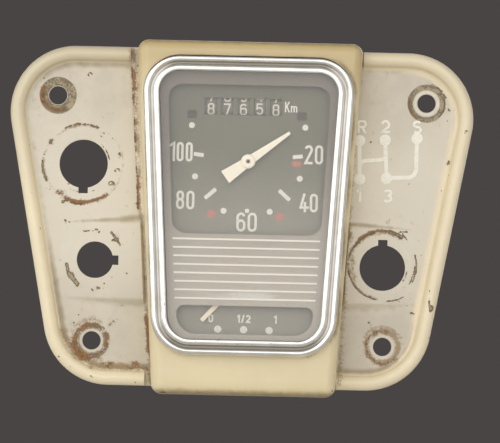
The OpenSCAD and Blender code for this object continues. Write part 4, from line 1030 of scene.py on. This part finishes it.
def panel_plate(s):
    """The panel's flat with its holes, meshed finer round holes, on the pads' folds and along the seam."""
    tall, thick = s.height / MM / 2, s.sheet / MM
    edge = s.rim / MM - thick
    right, left = wing(edge, 1), wing(edge, -1)
    (top_r, low_r), (top_l, low_l) = ([x + thick for x in wing_ends(sign)] for sign in (1, -1))
    outer = ([(-low_l, -tall), (low_r, -tall), (low_r, edge - tall)] + right[1:-1][::-1]
             + [(top_r, tall - edge), (top_r, tall), (-top_l, tall), (-top_l, tall - edge)]
             + [(-x, z) for x, z in left[1:-1]] + [(-low_l, edge - tall)])
    outer = spaced(outer, 1.2)
    holes = [spaced([(x + MID_X, z) for x, z in face_outline(OPENING_INSET)], 1.6)]
    rings = []
    for x, z in SCREW_HOLES:
        holes.append(circle(x, z, SCREW_HOLE_R, 48))
        rings += [p for k in range(10) for p in circle(x, z, 4.1 + 0.55 * k, 40 + 6 * k)]
    for x, z, r, a in SWITCH_HOLES:
        open_a = math.degrees(math.asin(KEY_HALF / r))
        key = [(r + KEY_DEEP, -KEY_HALF), (r + KEY_DEEP, KEY_HALF)]
        ring = arc(0, 0, r, open_a, 360 - open_a, 70)
        holes.append(spaced(turned(key + ring, a, x, z), 0.9))
        rings += [p for k in range(18) for p in circle(x, z, r + 0.8 + 0.4 * k, 150)]
    gx, gz = numpy.meshgrid(numpy.arange(-80, 80.5, 0.85), numpy.arange(-64, 64.5, 0.85))
    rows = numpy.concatenate([numpy.arange(low, low + 4.8, 0.34) for low in (-3.7, -35)])
    fx, fz = numpy.meshgrid(numpy.arange(-76, 76.5, 1.0), rows)
    sz = numpy.arange(0, 58, 0.8)
    seams = [(seam_x(sz) + k, sz) for k in (-0.7, -0.35, -0.15, 0, 0.15, 0.35, 0.7)]
    pz = numpy.arange(-35, 1, 0.55)
    seams += [(-pad_end(-pz * 0 - 1, pz) + k, pz) for k in (-0.75, -0.5, -0.25, 0, 0.25, 0.5, 0.75)]
    x = numpy.concatenate([numpy.array(rings).T[0], gx.ravel(), fx.ravel()] + [a for a, _ in seams])
    z = numpy.concatenate([numpy.array(rings).T[1], gz.ravel(), fz.ravel()] + [b for _, b in seams])
    keep = inside(outer, x, z) & (gap_to(outer + [p for hole in holes for p in hole], x, z) > 0.5)
    for hole in holes:
        keep &= ~inside(hole, x, z)
    ringed = [(a, b, 9.2) for a, b in SCREW_HOLES] + [(a, b, r + 7.8) for a, b, r, _ in SWITCH_HOLES]
    for cx, cz, r in ringed:
        keep &= (numpy.hypot(x - cx, z - cz) > r) | (numpy.arange(len(x)) < len(rings))
    inner = list(zip(x[keep].tolist(), z[keep].tolist()))
    return sheet(outer, holes, inner, lambda u, v: relief(u, v) - thick, relief, 0.18, 2)


def panel_wear(s, points, on_rim, reach):
    """Weights of rim paint, soiling with painted shade by the rim's foot and the pads' folds, rust, chips and
    stains at the panel's points.
    """
    px, py, pz = numpy.array(points).T
    shown = (py < relief(px, pz) - s.sheet / MM / 2).astype(float)
    inner_edge = [(k * a, b) for k in (1, -1) for a, b in spaced(wing(reach, k), 0.6, False)]
    off_foot = gap_to(inner_edge, px, pz)
    near_foot = numpy.exp(-(off_foot / (1.7 - 0.8 * on_rim)) ** 2)
    rightward, upward = numpy.clip((px - 58) / 10, 0, 1), numpy.clip((pz + 48) / 12, 0, 1)
    spray = numpy.clip((1.7 - off_foot) / 1.2, 0, 1) * rightward * upward
    on_rim = on_rim * (1 - numpy.exp(-(off_foot / 0.9) ** 2) * (px < 0))
    strip = 0.55 * (px > seam_x(pz)) * (px < 0) * (pz > SEAM_LOW) * (pz < SEAM_HIGH)
    # Soiling together with painted shade along the rim's inner foot.
    foot_dirt_and_shade = near_foot * (0.4 + 0.6 * marked(px, pz, FOOT_MARKS)) * numpy.clip((72 - px) / 12, 0.15, 1)
    marks = {"rim": numpy.maximum.reduce([on_rim, 0.85 * spray, strip]),
             "foot": numpy.maximum(foot_dirt_and_shade, marked(px, pz, FOLD_SHADE_MARKS) * shown)}
    tables = {"rust": RUST_MARKS, "chip": CHIP_MARKS, "stain_and_shade": STAIN_AND_SHADE_MARKS, "pale": PALE_MARKS,
              "ring": RING_MARKS}
    for label, table in tables.items():
        marks[label] = marked(px, pz, table) * shown
    return marks


class SPEEDOMETER_OT_panel(bpy.types.Operator):
    """Pressed dash panel with its rolled rim, sloping switch pads, keyed holes, rust and chips"""
    bl_idname = "speedometer.panel"
    bl_label = "Dash panel"

    def execute(self, context):
        s = context.scene.speedometer_panel
        section, reach = rim_section(s)
        rims = []
        for sign in (1, -1):
            paths = [wing(d, sign) for d, _ in section]
            loops = [[(sign * paths[i][j][0], section[i][1], paths[i][j][1]) for i in range(len(section))]
                     for j in range(len(paths[0]))]
            rims.append(skin(loops, False))
        plate = panel_plate(s)
        points, faces = joined(plate, *rims)
        on_rim = (numpy.arange(len(points)) >= len(plate[0])).astype(float)
        piece("panel_sheet", (points, faces), panel_enamel(s), replaces=("dash_panel",),
              marks=panel_wear(s, points, on_rim, reach))
        return {"FINISHED"}


class SPEEDOMETER_OT_gear_print(bpy.types.Operator):
    """Printed gear diagram on the right wing"""
    bl_idname = "speedometer.gear_print"
    bl_label = "Gear diagram"

    def execute(self, context):
        dots = {"R": (44.95, 30.75), "2": (54.75, 31.15), "S": (66.85, 32.05), "1": (45.35, 16.15),
                "3": (55.55, 16.6)}
        signs = {"R": 36.15, "2": 36.35, "S": 36.35, "1": 9.95, "3": 9.95}
        strokes = [([dots["R"], dots["1"]], False, 1.5), ([dots["2"], dots["3"]], False, 1.5),
                   (arc(52.7, 26.0, 2.4, 0, -90, 8) + arc(47.7, 20.8, 2.4, 90, 180, 8), False, 1.4),
                   ([dots["S"], (66.75, 20.2)] + arc(63.6, 20.2, 3.1, 0, -90, 6) + [(55.7, 16.8)],
                    False, 1.5)]
        for sign, mid in signs.items():
            x = dots[sign][0] + {"R": 0.9, "3": 0.6}.get(sign, 0.0)
            strokes += lettering(sign, x - 1.75, x + 1.75, mid - 2.5, 5.0, 0.85, 0.5)
        place = lambda u, v, t: (u, PANEL_FRONT - t, v)
        edge = [(2.15, PANEL_FRONT + 0.02), (2.15, PANEL_FRONT - 0.1), (2.1, PANEL_FRONT - 0.12)]
        discs = [lathe(edge, x, z, 28) for x, z in dots.values()]
        ink = print_ink("screen_ink_cream", linear("#FDF8EA"), 0.6)
        piece("gear_diagram", joined(inked(strokes, place, 0.06), *discs), ink)
        return {"FINISHED"}


class SPEEDOMETER_OT_housing(bpy.types.Operator):
    """Cream housing: rolled front edge, flat face and the walls that hook over the panel"""
    bl_idname = "speedometer.housing"
    bl_label = "Housing"

    def execute(self, context):
        s = context.scene.speedometer_housing
        tall, roll, wall, corner = s.height / MM / 2, s.roll / MM, s.wall / MM, s.corner / MM
        outline = lambda d: trapezoid(s.width / MM / 2, s.lean, tall, -tall, corner, corner, d, 12, 36)
        hook = context.scene.speedometer_panel.height / MM / 2 + 0.3
        back = lambda z: 1.0 if abs(z) > hook else PANEL_FRONT
        base = outline(0)
        hole = face_outline(OPENING_INSET, 40, 60)

        def nearest(x, z):
            """Point of the opening that is most nearly on the line from the bezel's middle to (x, z)."""
            far = math.hypot(x, z - BEZEL_MID)
            ax, az = x / far, (z - BEZEL_MID) / far
            along = lambda p: (p[0] * ax + (p[1] - BEZEL_MID) * az) / math.hypot(p[0], p[1] - BEZEL_MID)
            return max(hole, key=along)

        reach = [nearest(x, z) for x, z in base]
        loops = [[(x, back(z), z) for x, z in outline(wall)], [(x, back(z), z) for x, z in outline(0.3)],
                 [(x, back(z) - 0.3, z) for x, z in base]]
        foot = PANEL_FRONT - 0.4
        loops += [[(x, foot - (foot - FACE_Y - roll) * k / 5, z) for x, z in base] for k in range(6)]
        for i in range(1, 10):
            a = math.pi / 2 * i / 9
            y, inset = FACE_Y + roll * (1 - math.sin(a)), roll * (1 - math.cos(a))
            loops.append([(x, y, z) for x, z in outline(inset)])
        rim = outline(roll)
        for k in range(1, 7):
            loops.append([(x + (u - x) * k / 6, FACE_Y, z + (v - z) * k / 6)
                          for (x, z), (u, v) in zip(rim, reach)])
        loops.append([(u, FACE_Y + wall, v) for u, v in reach])
        loops.append([(x, FACE_Y + wall, z) for x, z in outline(wall)])
        points, faces = skin(loops)
        px, py, pz = numpy.array(points).T
        # Painted shade with soiling on the rolled bottom edge and, fainter, on the top edge.
        low = numpy.maximum(numpy.exp(-((pz + tall) / 2.4) ** 2), 0.6 * numpy.exp(-((pz - tall) / 1.6) ** 2))
        # Painted shade where the housing meets the panel.
        seam = numpy.exp(-((py - PANEL_FRONT) / 2.6) ** 2)
        right = numpy.clip((px - 30) / 5, 0, 1)
        # Painted shadow of the bezel on the face beside it, wider on the right.
        off_bezel = gap_to(face_outline(0), px, pz)
        bezel_shadow = (0.7 + 0.25 * right) * numpy.exp(-(off_bezel / (0.6 + 0.9 * right)) ** 2)
        bezel_shadow *= py < FACE_Y + 0.5 + 2.5 * right
        grime_and_shade = numpy.maximum.reduce([low, 0.55 * seam, bezel_shadow])
        chips = marked(px, pz, HOUSING_CHIPS) * (py < 0)
        piece("housing_cowl", (points, faces), housing_enamel(s), replaces=("housing",),
              dx=MID_X, marks={"grime_and_shade": grime_and_shade, "chip": chips})
        return {"FINISHED"}


HOUSING_CHIPS = {
    "spot": ((0.8, -0.3, 65.6, 0.5, 0.4, 0), (0.75, 7.6, 65.0, 0.3, 0.6, 0),
        (0.8, -30, -66.4, 2.2, 0.5, 0), (0.7, -12, -66.8, 2.6, 0.4, 0), (0.58, 24.5, -61, 0.3, 0.25, 0),
        (0.66, 33.8, -64.5, 0.4, 0.5, 0), (0.6, -24, -62.3, 0.4, 0.35, 0), (0.7, -33.4, -62, 0.5, 1.0, 0)),
}


class SPEEDOMETER_OT_bezel(bpy.types.Operator):
    """Polished bezel ring: outer bead, dull groove and a narrow double inner bead"""
    bl_idname = "speedometer.bezel"
    bl_label = "Bezel"

    def execute(self, context):
        knots = (
            (0.45, 0.0), (0.1, 0.15), (0.0, 0.6), (0.0, 2.6), (0.1, 3.3), (0.32, 3.87), (0.65, 4.26),
            (1.05, 4.46), (1.5, 4.52), (1.95, 4.46), (2.3, 4.28), (2.5, 4.02), (2.65, 3.78), (2.82, 3.63),
            (3.02, 3.54), (3.24, 3.5), (3.46, 3.54), (3.68, 3.65), (3.84, 3.8), (4.0, 4.02), (4.25, 4.25),
            (4.6, 4.37), (5.0, 4.42), (5.45, 4.42), (5.85, 4.35), (6.07, 4.2), (6.15, 3.95), (6.15, 2.2),
        )
        section = [(d, FACE_Y - rise) for d, rise in knots]
        section += [(4.6, FACE_Y - 2.2), (4.6, -11), (3.8, -11), (3.8, FACE_Y)]
        outline = lambda d: face_outline(d, spread=context.scene.speedometer_instrument.spread / MM)
        loops = [[(x - 0.3, y, z) for x, z in outline(d)] for d, y in section]
        points, faces = skin(loops)
        base = outline(0)
        run = [0.0]
        for p, q in zip(base, base[1:]):
            run.append(run[-1] + math.dist(p, q) * MM)
        across = [0.0]
        for p, q in zip(section, section[1:]):
            across.append(across[-1] + math.dist(p, q) * MM)
        uv = [(run[j], across[i]) for i in range(len(section)) for j in range(len(base))]
        # Less dull oxide on the sides of the groove: painted reflection of the side lamps.
        oxide_thinned_for_sheen = [1.0 - 0.5 * min(1.0, max(0.0, (abs(x) - 29) / 6)) for x, _ in base]
        dull = [fade if 2.4 < d < 3.9 and y < FACE_Y - 3 else 0.0 for d, y in section for fade in oxide_thinned_for_sheen]
        _, _, pz = numpy.array(points).T
        inner = numpy.array([1.0 if 3.9 < d < 6.15 and y < FACE_Y - 3 else 0.35
                             for d, y in section for _ in base])
        pit = inner * numpy.clip((-10 - pz) / 40, 0, 0.45)
        piece("bezel_ring", (points, faces), polished_aluminium(), replaces=("bezel",),
              dx=MID_X, angle=60, marks={"dull": dull, "pit": pit}, uv=uv)
        return {"FINISHED"}


class SPEEDOMETER_OT_mask(bpy.types.Operator):
    """Grey mask with rounded window edges, and the glass, gasket and pale strips on it"""
    bl_idname = "speedometer.mask"
    bl_label = "Mask, strips and glass"

    def execute(self, context):
        s = context.scene.speedometer_instrument

        def windows(d):
            """Outlines of the speed and fuel windows moved inwards by d."""
            return [trapezoid(half, math.radians(lean), *rest, d, 10, 40) for half, lean, *rest in WINDOWS]

        near = [p for line in windows(-1.4) for p in line]
        plate = sheet(face_outline(5.1), windows(0), near, lambda x, z: x * 0 + MASK_FRONT,
                      lambda x, z: x * 0 + MASK_BACK, 0.42, 4)
        piece("mask_front", plate, moulded_mask(s), replaces=("mask",), dx=MID_X)

        heights = [STRIP_TOP - STRIP_STEP * i for i in range(s.strips)]
        halves = [STRIP_HALF + z * math.tan(s.lean) for z in heights]
        ivory = print_ink("painted_strip_ivory", linear("#F1EADF"), 0.35)
        # A strip 2 mm long, drawn out by its half width in millimetres.
        copies("mask_lines", [(MID_X, MASK_FRONT - 0.15, z) for z in heights], "strip_row", bar_solid,
               {"Length": 0.002, "Width": 0.0007, "Height": 0.0003}, ivory,
               ("mask_strips",), {"scale": [(w, 1.0, 1.0) for w in halves]})
        dress("lens", flat_glass())
        dress("lens_gasket", moulding("moulded_nitrile_rubber", "#6E6861", "#7C766E", 0.6))
        return {"FINISHED"}


def dress(node, material):
    """Gives a CAD node its finish."""
    held = frame["nodes"][node].data.materials
    held.clear()
    held.append(material)


class SPEEDOMETER_OT_dials(bpy.types.Operator):
    """Speed and fuel dials with their printed numbers, bars and dots"""
    bl_idname = "speedometer.dials"
    bl_label = "Dials"

    def execute(self, context):
        s = context.scene.speedometer_instrument
        lacquer = dial_lacquer(s)
        dress("speed_dial", lacquer)
        dress("fuel_dial", lacquer)
        dress("warning_filters", moulding("cast_acrylic_filter", "#4A4030", "#443626", 0.4))
        gaps = [(a + ODOMETER_HALF, b - ODOMETER_HALF) for a, b in zip(DRUM_X[:0:-1], DRUM_X[-2::-1])]
        bars = []
        for a, b in [(-17.4, -16.75)] + gaps + [(12.3, 12.8)]:
            bar = [(a, ODOMETER_LOW), (b, ODOMETER_LOW), (b, ODOMETER_HIGH), (a, ODOMETER_HIGH)]
            bars.append(prism(bar, DIAL_FRONT, DIAL_FRONT + 0.5, 0.05))
        piece("odometer_bars", joined(*bars), lacquer, dx=MID_X)
        ink = print_ink("screen_ink_dial", s.ink, 0.5)
        place = lambda u, v, t: (u, DIAL_FRONT - t, v)
        numbers = []
        speeds = (("100", -29.4, -21.1, 21.2, 7.4), ("20", 21.3, 28.4, 21.2, 7.3),
                  ("80", -27.0, -20.0, 3.1, 7.1), ("40", 19.8, 26.8, 3.0, 7.1), ("60", -4.0, 3.8, -4.9, 7.3))
        for words, x0, x1, z0, tall in speeds:
            numbers += lettering(words, x0, x1, z0, tall, 0.95, 0.75)
        numbers += lettering("Km", 13.5, 18.2, 40.7, 4.0, 0.5, 0.35)
        for words, x0, x1 in (("0", -13.75, -11.85), ("1/2", -2.75, 2.3), ("1", 11.0, 12.5)):
            numbers += lettering(words, x0, x1, -39.5, 3.1, 0.62, 0.35)
        piece("dial_numbers", inked(numbers, place, 0.05), ink, dx=MID_X)

        speed_dots = [(21.4, 35.05), (-21.6, 35.05), (19.7, 15.65), (8.6, 2.85), (-8.9, 2.85), (-20.0, 15.65)]
        fuel_dots = [(-10.1, -42.05), (-0.3, -42.05), (9.4, -42.15)]
        seats = [(x + MID_X, DIAL_FRONT - 0.02, z) for x, z in speed_dots + fuel_dots]
        grow = [(1.0, 1.0, 1.0)] * len(speed_dots) + [(1.22, 1.0, 1.22)] * len(fuel_dots)
        copies("dial_dots", seats, "dot_row", dot_solid, {"Radius": 0.00115, "Height": 0.00005}, ink,
               (), {"scale": grow})

        seats, grow, turn = [], [], []
        ticks = ((20, 3.8, 18.9), (40, 5.5, 18.8), (60, 1.5, 18.7), (80, 5.5, 18.8), (100, 3.8, 18.9))
        for speed, long, r in ticks:
            a = math.radians(SCALE_START + SCALE_STEP * speed)
            seats.append((MID_X + r * math.cos(a), DIAL_FRONT - 0.02, NEEDLE_Z + r * math.sin(a)))
            grow.append((long, 1.0, 1.0))
            turn.append((0.0, -a, 0.0))
        sizes = {"Length": 0.001, "Width": 0.0015, "Height": 0.00005}
        copies("dial_bars", seats, "bar_row", bar_solid, sizes, ink, (),
               {"scale": grow, "turn": turn})
        return {"FINISHED"}


class SPEEDOMETER_OT_needles(bpy.types.Operator):
    """Speed needle with its counterweight tail and hub, and the fuel needle"""
    bl_idname = "speedometer.needles"
    bl_label = "Needles"

    def execute(self, context):
        cream = stoved_lacquer("stoved_lacquer_cream", context.scene.speedometer_instrument.needle, 0.42)
        back = DIAL_FRONT - 1.4
        edge = [(19.2, 0.6), (0.5, 1.8), (-0.5, 1.85), (-10.6, 2.75)]
        blade = turned(edge + [(x, -z) for x, z in edge[::-1]], NEEDLE_TURN, 0, NEEDLE_Z)
        hub = lathe([(0.62, back + 0.5), (2.75, back + 0.5), (2.75, back - 0.9), (2.62, back - 1.12),
                     (2.4, back - 1.3), (2.2, back - 1.36), (1.0, back - 1.36), (0.72, back - 1.05),
                     (0.62, back - 0.85)], 0, NEEDLE_Z)
        piece("needle_blade", joined(prism(blade, back - 0.6, back, 0.14), hub), cream,
              "pointer", ("speed_needle",), MID_X)
        back = DIAL_FRONT - 1.0
        edge = [(24, 0.75), (23.7, 0.85), (0, 1.05), (-5, 1.6)]
        bar = turned(edge + [(x, -z) for x, z in edge[::-1]], FUEL_TURN, 0, FUEL_Z)
        hub = lathe([(0.62, back + 0.3), (1.8, back + 0.3), (1.8, back - 0.65), (1.65, back - 0.8),
                     (0.62, back - 0.8)], 0, FUEL_Z, 36)
        aged = stoved_lacquer("stoved_lacquer_aged", linear("#F7E9D0"), 0.42)
        piece("fuel_pointer", joined(prism(bar, back - 0.5, back, 0.12), hub), aged, "fuel",
              ("fuel_needle",), MID_X)
        return {"FINISHED"}


class SPEEDOMETER_OT_drums(bpy.types.Operator):
    """Digits printed round the five odometer drums"""
    bl_idname = "speedometer.drums"
    bl_label = "Odometer drums"

    def execute(self, context):
        body = moulding("moulded_drum_plastic", "#7A766C", "#716C64", 0.55)
        ink = print_ink("screen_ink_drum", linear("#D9D4C8"), 0.3)
        # The digit in each window, from the right. The second drum stands a little turned.
        shown = (8.0, 5.06, 6.0, 7.0, 8.0)
        for i, (x, digit) in enumerate(zip(DRUM_X, shown)):
            dress(f"odometer_drum_{i + 1}", body)
            strokes = []
            for k in range(10):
                mid = (digit - k) * 0.2 * math.pi * DRUM_R - 1.1
                strokes += [([(u, v + mid) for u, v in line], shut, pen)
                            for line, shut, pen in lettering(str(k), -1.35, 1.35, -2.2, 4.4, 0.62, 0.3, 0.5)]

            def place(u, v, t):
                a = v / DRUM_R
                return x + u, DRUM_Y - (DRUM_R + t) * math.cos(a), DRUM_Z + (DRUM_R + t) * math.sin(a)

            parts = [inked([stroke], place, 0.05, 0.5) for stroke in strokes]
            piece(f"drum_digits_{i + 1}", joined(*parts), ink, f"drum_{i + 1}", dx=MID_X)
        return {"FINISHED"}


class SPEEDOMETER_OT_rear(bpy.types.Operator):
    """Slotted screws, threads and finishes of the case, its fittings and the mechanism"""
    bl_idname = "speedometer.rear"
    bl_label = "Rear and mechanism"

    def execute(self, context):
        zinc = metal("zinc_plated_steel", "#B9B8B2", "#9C9B95", 0.28, 0.7, tarnish="#8C8272")
        brass = metal("turned_brass", "#C9A763", "#A98747", 0.22, 0.5, tarnish="#7A6238")
        steel = metal("ground_steel", "#B4B4B2", "#94948F", 0.2, 0.4)
        case = stoved_lacquer("stoved_lacquer_grey", linear("#7C7D7C"), 0.36)
        bakelite = moulding("pressed_bakelite", "#2A1B12", "#3A2518", 0.3)
        black = moulding("moulded_phenolic_black", "#131313", "#1C1B1A", 0.34)
        ivory = moulding("moulded_nylon", "#DAD5C6", "#C9C3B2", 0.4)
        casting = metal("die_cast_zinc", "#9A9A9A", "#838383", 0.42, 1.2)
        alloy = metal("ground_magnet_alloy", "#57575A", "#47474A", 0.35, 0.6)
        spun = metal("spun_aluminium", "#CFCFCD", "#B6B6B3", 0.2, 0.5)
        copper = moulding("varnished_copper_wire", "#8A4B25", "#6F3A1B", 0.28, 0.3)
        finish = {
            "case_steel": case, "zinc_casting": casting, "steel": steel, "brass": brass,
            "cup_aluminium": spun, "magnet_alloy": alloy, "gear_plastic": ivory, "coil_winding": copper,
            "insulator": bakelite, "socket_plastic": black, "bulb_glass": flat_glass(),
        }
        for part in frame["record"]["subparts"]:
            if part["material_slot"] in finish:
                dress(part["node"], finish[part["material_slot"]])
        for node in ("clamp_strap", "clamp_nuts", "clamp_studs", "fuel_bracket"):
            dress(node, zinc)
        # Bronzed pivot: dark and dull, so the hub shows a brown dot in its middle.
        dress("needle_spindle", metal("bronzed_steel_pivot", "#6A5238", "#46341F", 0.5, 0.4))

        s = context.scene.speedometer_instrument
        half, tz, bz = s.width / MM / 2, (s.top - s.top_corner) / MM, (s.bottom + s.low_corner) / MM
        tx = half - s.top_corner / MM / math.cos(s.lean) + tz * math.tan(s.lean)
        bx = half - s.low_corner / MM / math.cos(s.lean) + bz * math.tan(s.lean)
        u, v = ((r / MM - CASE_SCREW_INSET) * math.sqrt(0.5) for r in (s.top_corner, s.low_corner))
        seats = [(tx + u, tz + u), (-tx - u, tz + u), (bx + v, bz - v), (-bx - v, bz - v)]
        seats += [(-20, 18), (20, 18), (0, 49)]
        turns = [(0.0, 0.7 * i, 0.0) for i in range(len(seats))]
        copies("cover_screws", [(x + MID_X, COVER_BACK, z) for x, z in seats], "cheese_screw", screw_solid,
               {"Head radius": 0.0026, "Head height": 0.0018, "Slot": 0.0007,
                "Shank radius": 0.00125, "Shank": 0.0075},
               zinc, ("case_screws",), {"turn": turns})
        seats = [(-36.8, 61), (36.8, 61), (-26, -60), (26, -60)]
        copies("cowl_screws", [(x + MID_X, 0.0, z) for x, z in seats], "cheese_screw", screw_solid,
               {"Head radius": 0.0032, "Head height": 0.0022, "Slot": 0.0009,
                "Shank radius": 0.0014, "Shank": 0.0095},
               zinc, ("housing_screws",), {"turn": turns[:4]})

        boss = thread(0, NEEDLE_Z, 5.81, 6.1, 35.3, 43.6, 1.25, 56)
        piece("boss_thread", boss, brass, dx=MID_X)
        studs = [thread(k * 9, -29.5, 1.81, 2.0, 35.9, 42.8, 0.7) for k in (-1, 1)]
        piece("terminal_threads", joined(*studs), brass, dx=MID_X)
        studs = [thread(k * 20, 5.6, 2.01, 2.2, 41.4, 46.0, 0.7) for k in (-1, 1)]
        piece("clamp_threads", joined(*studs), zinc, dx=MID_X)
        return {"FINISHED"}


class SPEEDOMETER_OT_stage(bpy.types.Operator):
    """Floor, lamps, plain background and the camera"""
    bl_idname = "speedometer.stage"
    bl_label = "Stage"

    def execute(self, context):
        s = context.scene.speedometer_stage
        scene = context.scene
        scene.view_settings.view_transform = "Standard"
        mesh = bpy.data.meshes.new("floor")
        corners = ((-0.9, -1.1), (0.9, -1.1), (0.9, 0.8), (-0.9, 0.8))
        mesh.from_pydata([(x, y, FLOOR_Z) for x, y in corners], [], [(0, 1, 2, 3)])
        m, t, _, cloud = new_material("painted_board_pale", ((40, 3),))
        shade, _ = coat(t, tint(s.floor, 0.98), tint(s.floor, 1.0), 0.3, 0.7, cloud)
        surface(t, {"Base Color": shade, "Roughness": 0.7})
        mesh.materials.append(m)
        floor = new_object("floor", mesh)

        world = bpy.data.worlds.new("studio")
        scene.world = world
        world.use_nodes = True
        t = world.node_tree
        t.nodes.clear()
        path = add(t, "ShaderNodeLightPath").outputs
        seen = path["Is Camera Ray"]
        for ray in ("Is Glossy Ray", "Is Transmission Ray"):
            seen = add(t, "ShaderNodeMath", {0: seen, 1: path[ray]}, operation="MAXIMUM")
        glow = add(t, "ShaderNodeBackground", {0: (1.0, 1.0, 1.0, 1.0), 1: 0.15})
        plain = add(t, "ShaderNodeBackground", {0: s.backdrop, 1: 1.0})
        both = add(t, "ShaderNodeMixShader", {0: seen, 1: glow, 2: plain})
        add(t, "ShaderNodeOutputWorld", {0: both})

        aim = Vector((MID_X * MM, -0.01, MID_Z * MM))
        # Each lamp's place from the instrument, width and height in metres, and power in watts.
        lamps = (("left", (-0.85, -0.62, 0.0), 1.9, 1.9, 14.8), ("right", (0.85, -0.62, 0.05), 1.9, 1.9, 6.0),
                 ("top", (0.0, -0.75, 0.75), 1.6, 0.9, 2.1), ("front", (0.0, -2.9, 0.3), 2.4, 2.0, 24.0),
                 ("back", (0.2, 1.5, 0.25), 2.4, 1.4, 9.0))
        for name, at, wide, tall, power in lamps:
            lamp = bpy.data.lights.new(name, "AREA")
            lamp.shape, lamp.size, lamp.size_y, lamp.energy = "RECTANGLE", wide, tall, power
            o = new_object(name, lamp)
            o.location = aim + Vector(at)
            o.rotation_mode = "QUATERNION"
            o.rotation_quaternion = (aim - o.location).to_track_quat("-Z", "Y")
            o.visible_camera = False

        data = bpy.data.cameras.new("camera")
        data.sensor_width = 36.0
        data.lens = data.sensor_width * s.distance / s.frame_width
        data.clip_end = 20.0
        camera = new_object("camera", data)
        camera.location = (SIGHT[0], SIGHT[1] - s.distance, SIGHT[2])
        camera.rotation_mode = "QUATERNION"
        camera.rotation_quaternion = Quaternion((1, 0, 0), math.pi / 2) @ Quaternion((0, 0, 1), s.roll)
        scene.camera = camera
        return {"FINISHED"}


PIECES = (SPEEDOMETER_OT_panel, SPEEDOMETER_OT_gear_print, SPEEDOMETER_OT_housing, SPEEDOMETER_OT_bezel,
          SPEEDOMETER_OT_mask, SPEEDOMETER_OT_dials, SPEEDOMETER_OT_needles, SPEEDOMETER_OT_drums,
          SPEEDOMETER_OT_rear, SPEEDOMETER_OT_stage)
SETTINGS = {"panel": PanelSettings, "housing": HousingSettings, "instrument": InstrumentSettings,
            "stage": StageSettings}


class SPEEDOMETER_PT_pieces(bpy.types.Panel):
    bl_idname = "SPEEDOMETER_PT_pieces"
    bl_label = "Speedometer"
    bl_space_type = "VIEW_3D"
    bl_region_type = "UI"
    bl_category = "Speedometer"

    def draw(self, context):
        for kind in PIECES:
            self.layout.operator(kind.bl_idname, text=kind.bl_label)


def register():
    for kind in (*SETTINGS.values(), *PIECES, SPEEDOMETER_PT_pieces):
        bpy.utils.register_class(kind)
    for name, kind in SETTINGS.items():
        setattr(bpy.types.Scene, "speedometer_" + name, PointerProperty(type=kind))


def unregister():
    for name in SETTINGS:
        delattr(bpy.types.Scene, "speedometer_" + name)
    for kind in (*SETTINGS.values(), *PIECES, SPEEDOMETER_PT_pieces):
        bpy.utils.unregister_class(kind)


def main():
    register()
    for kind in PIECES:
        group, name = kind.bl_idname.split(".")
        getattr(getattr(bpy.ops, group), name)()


if __name__ == "__main__":
    main()
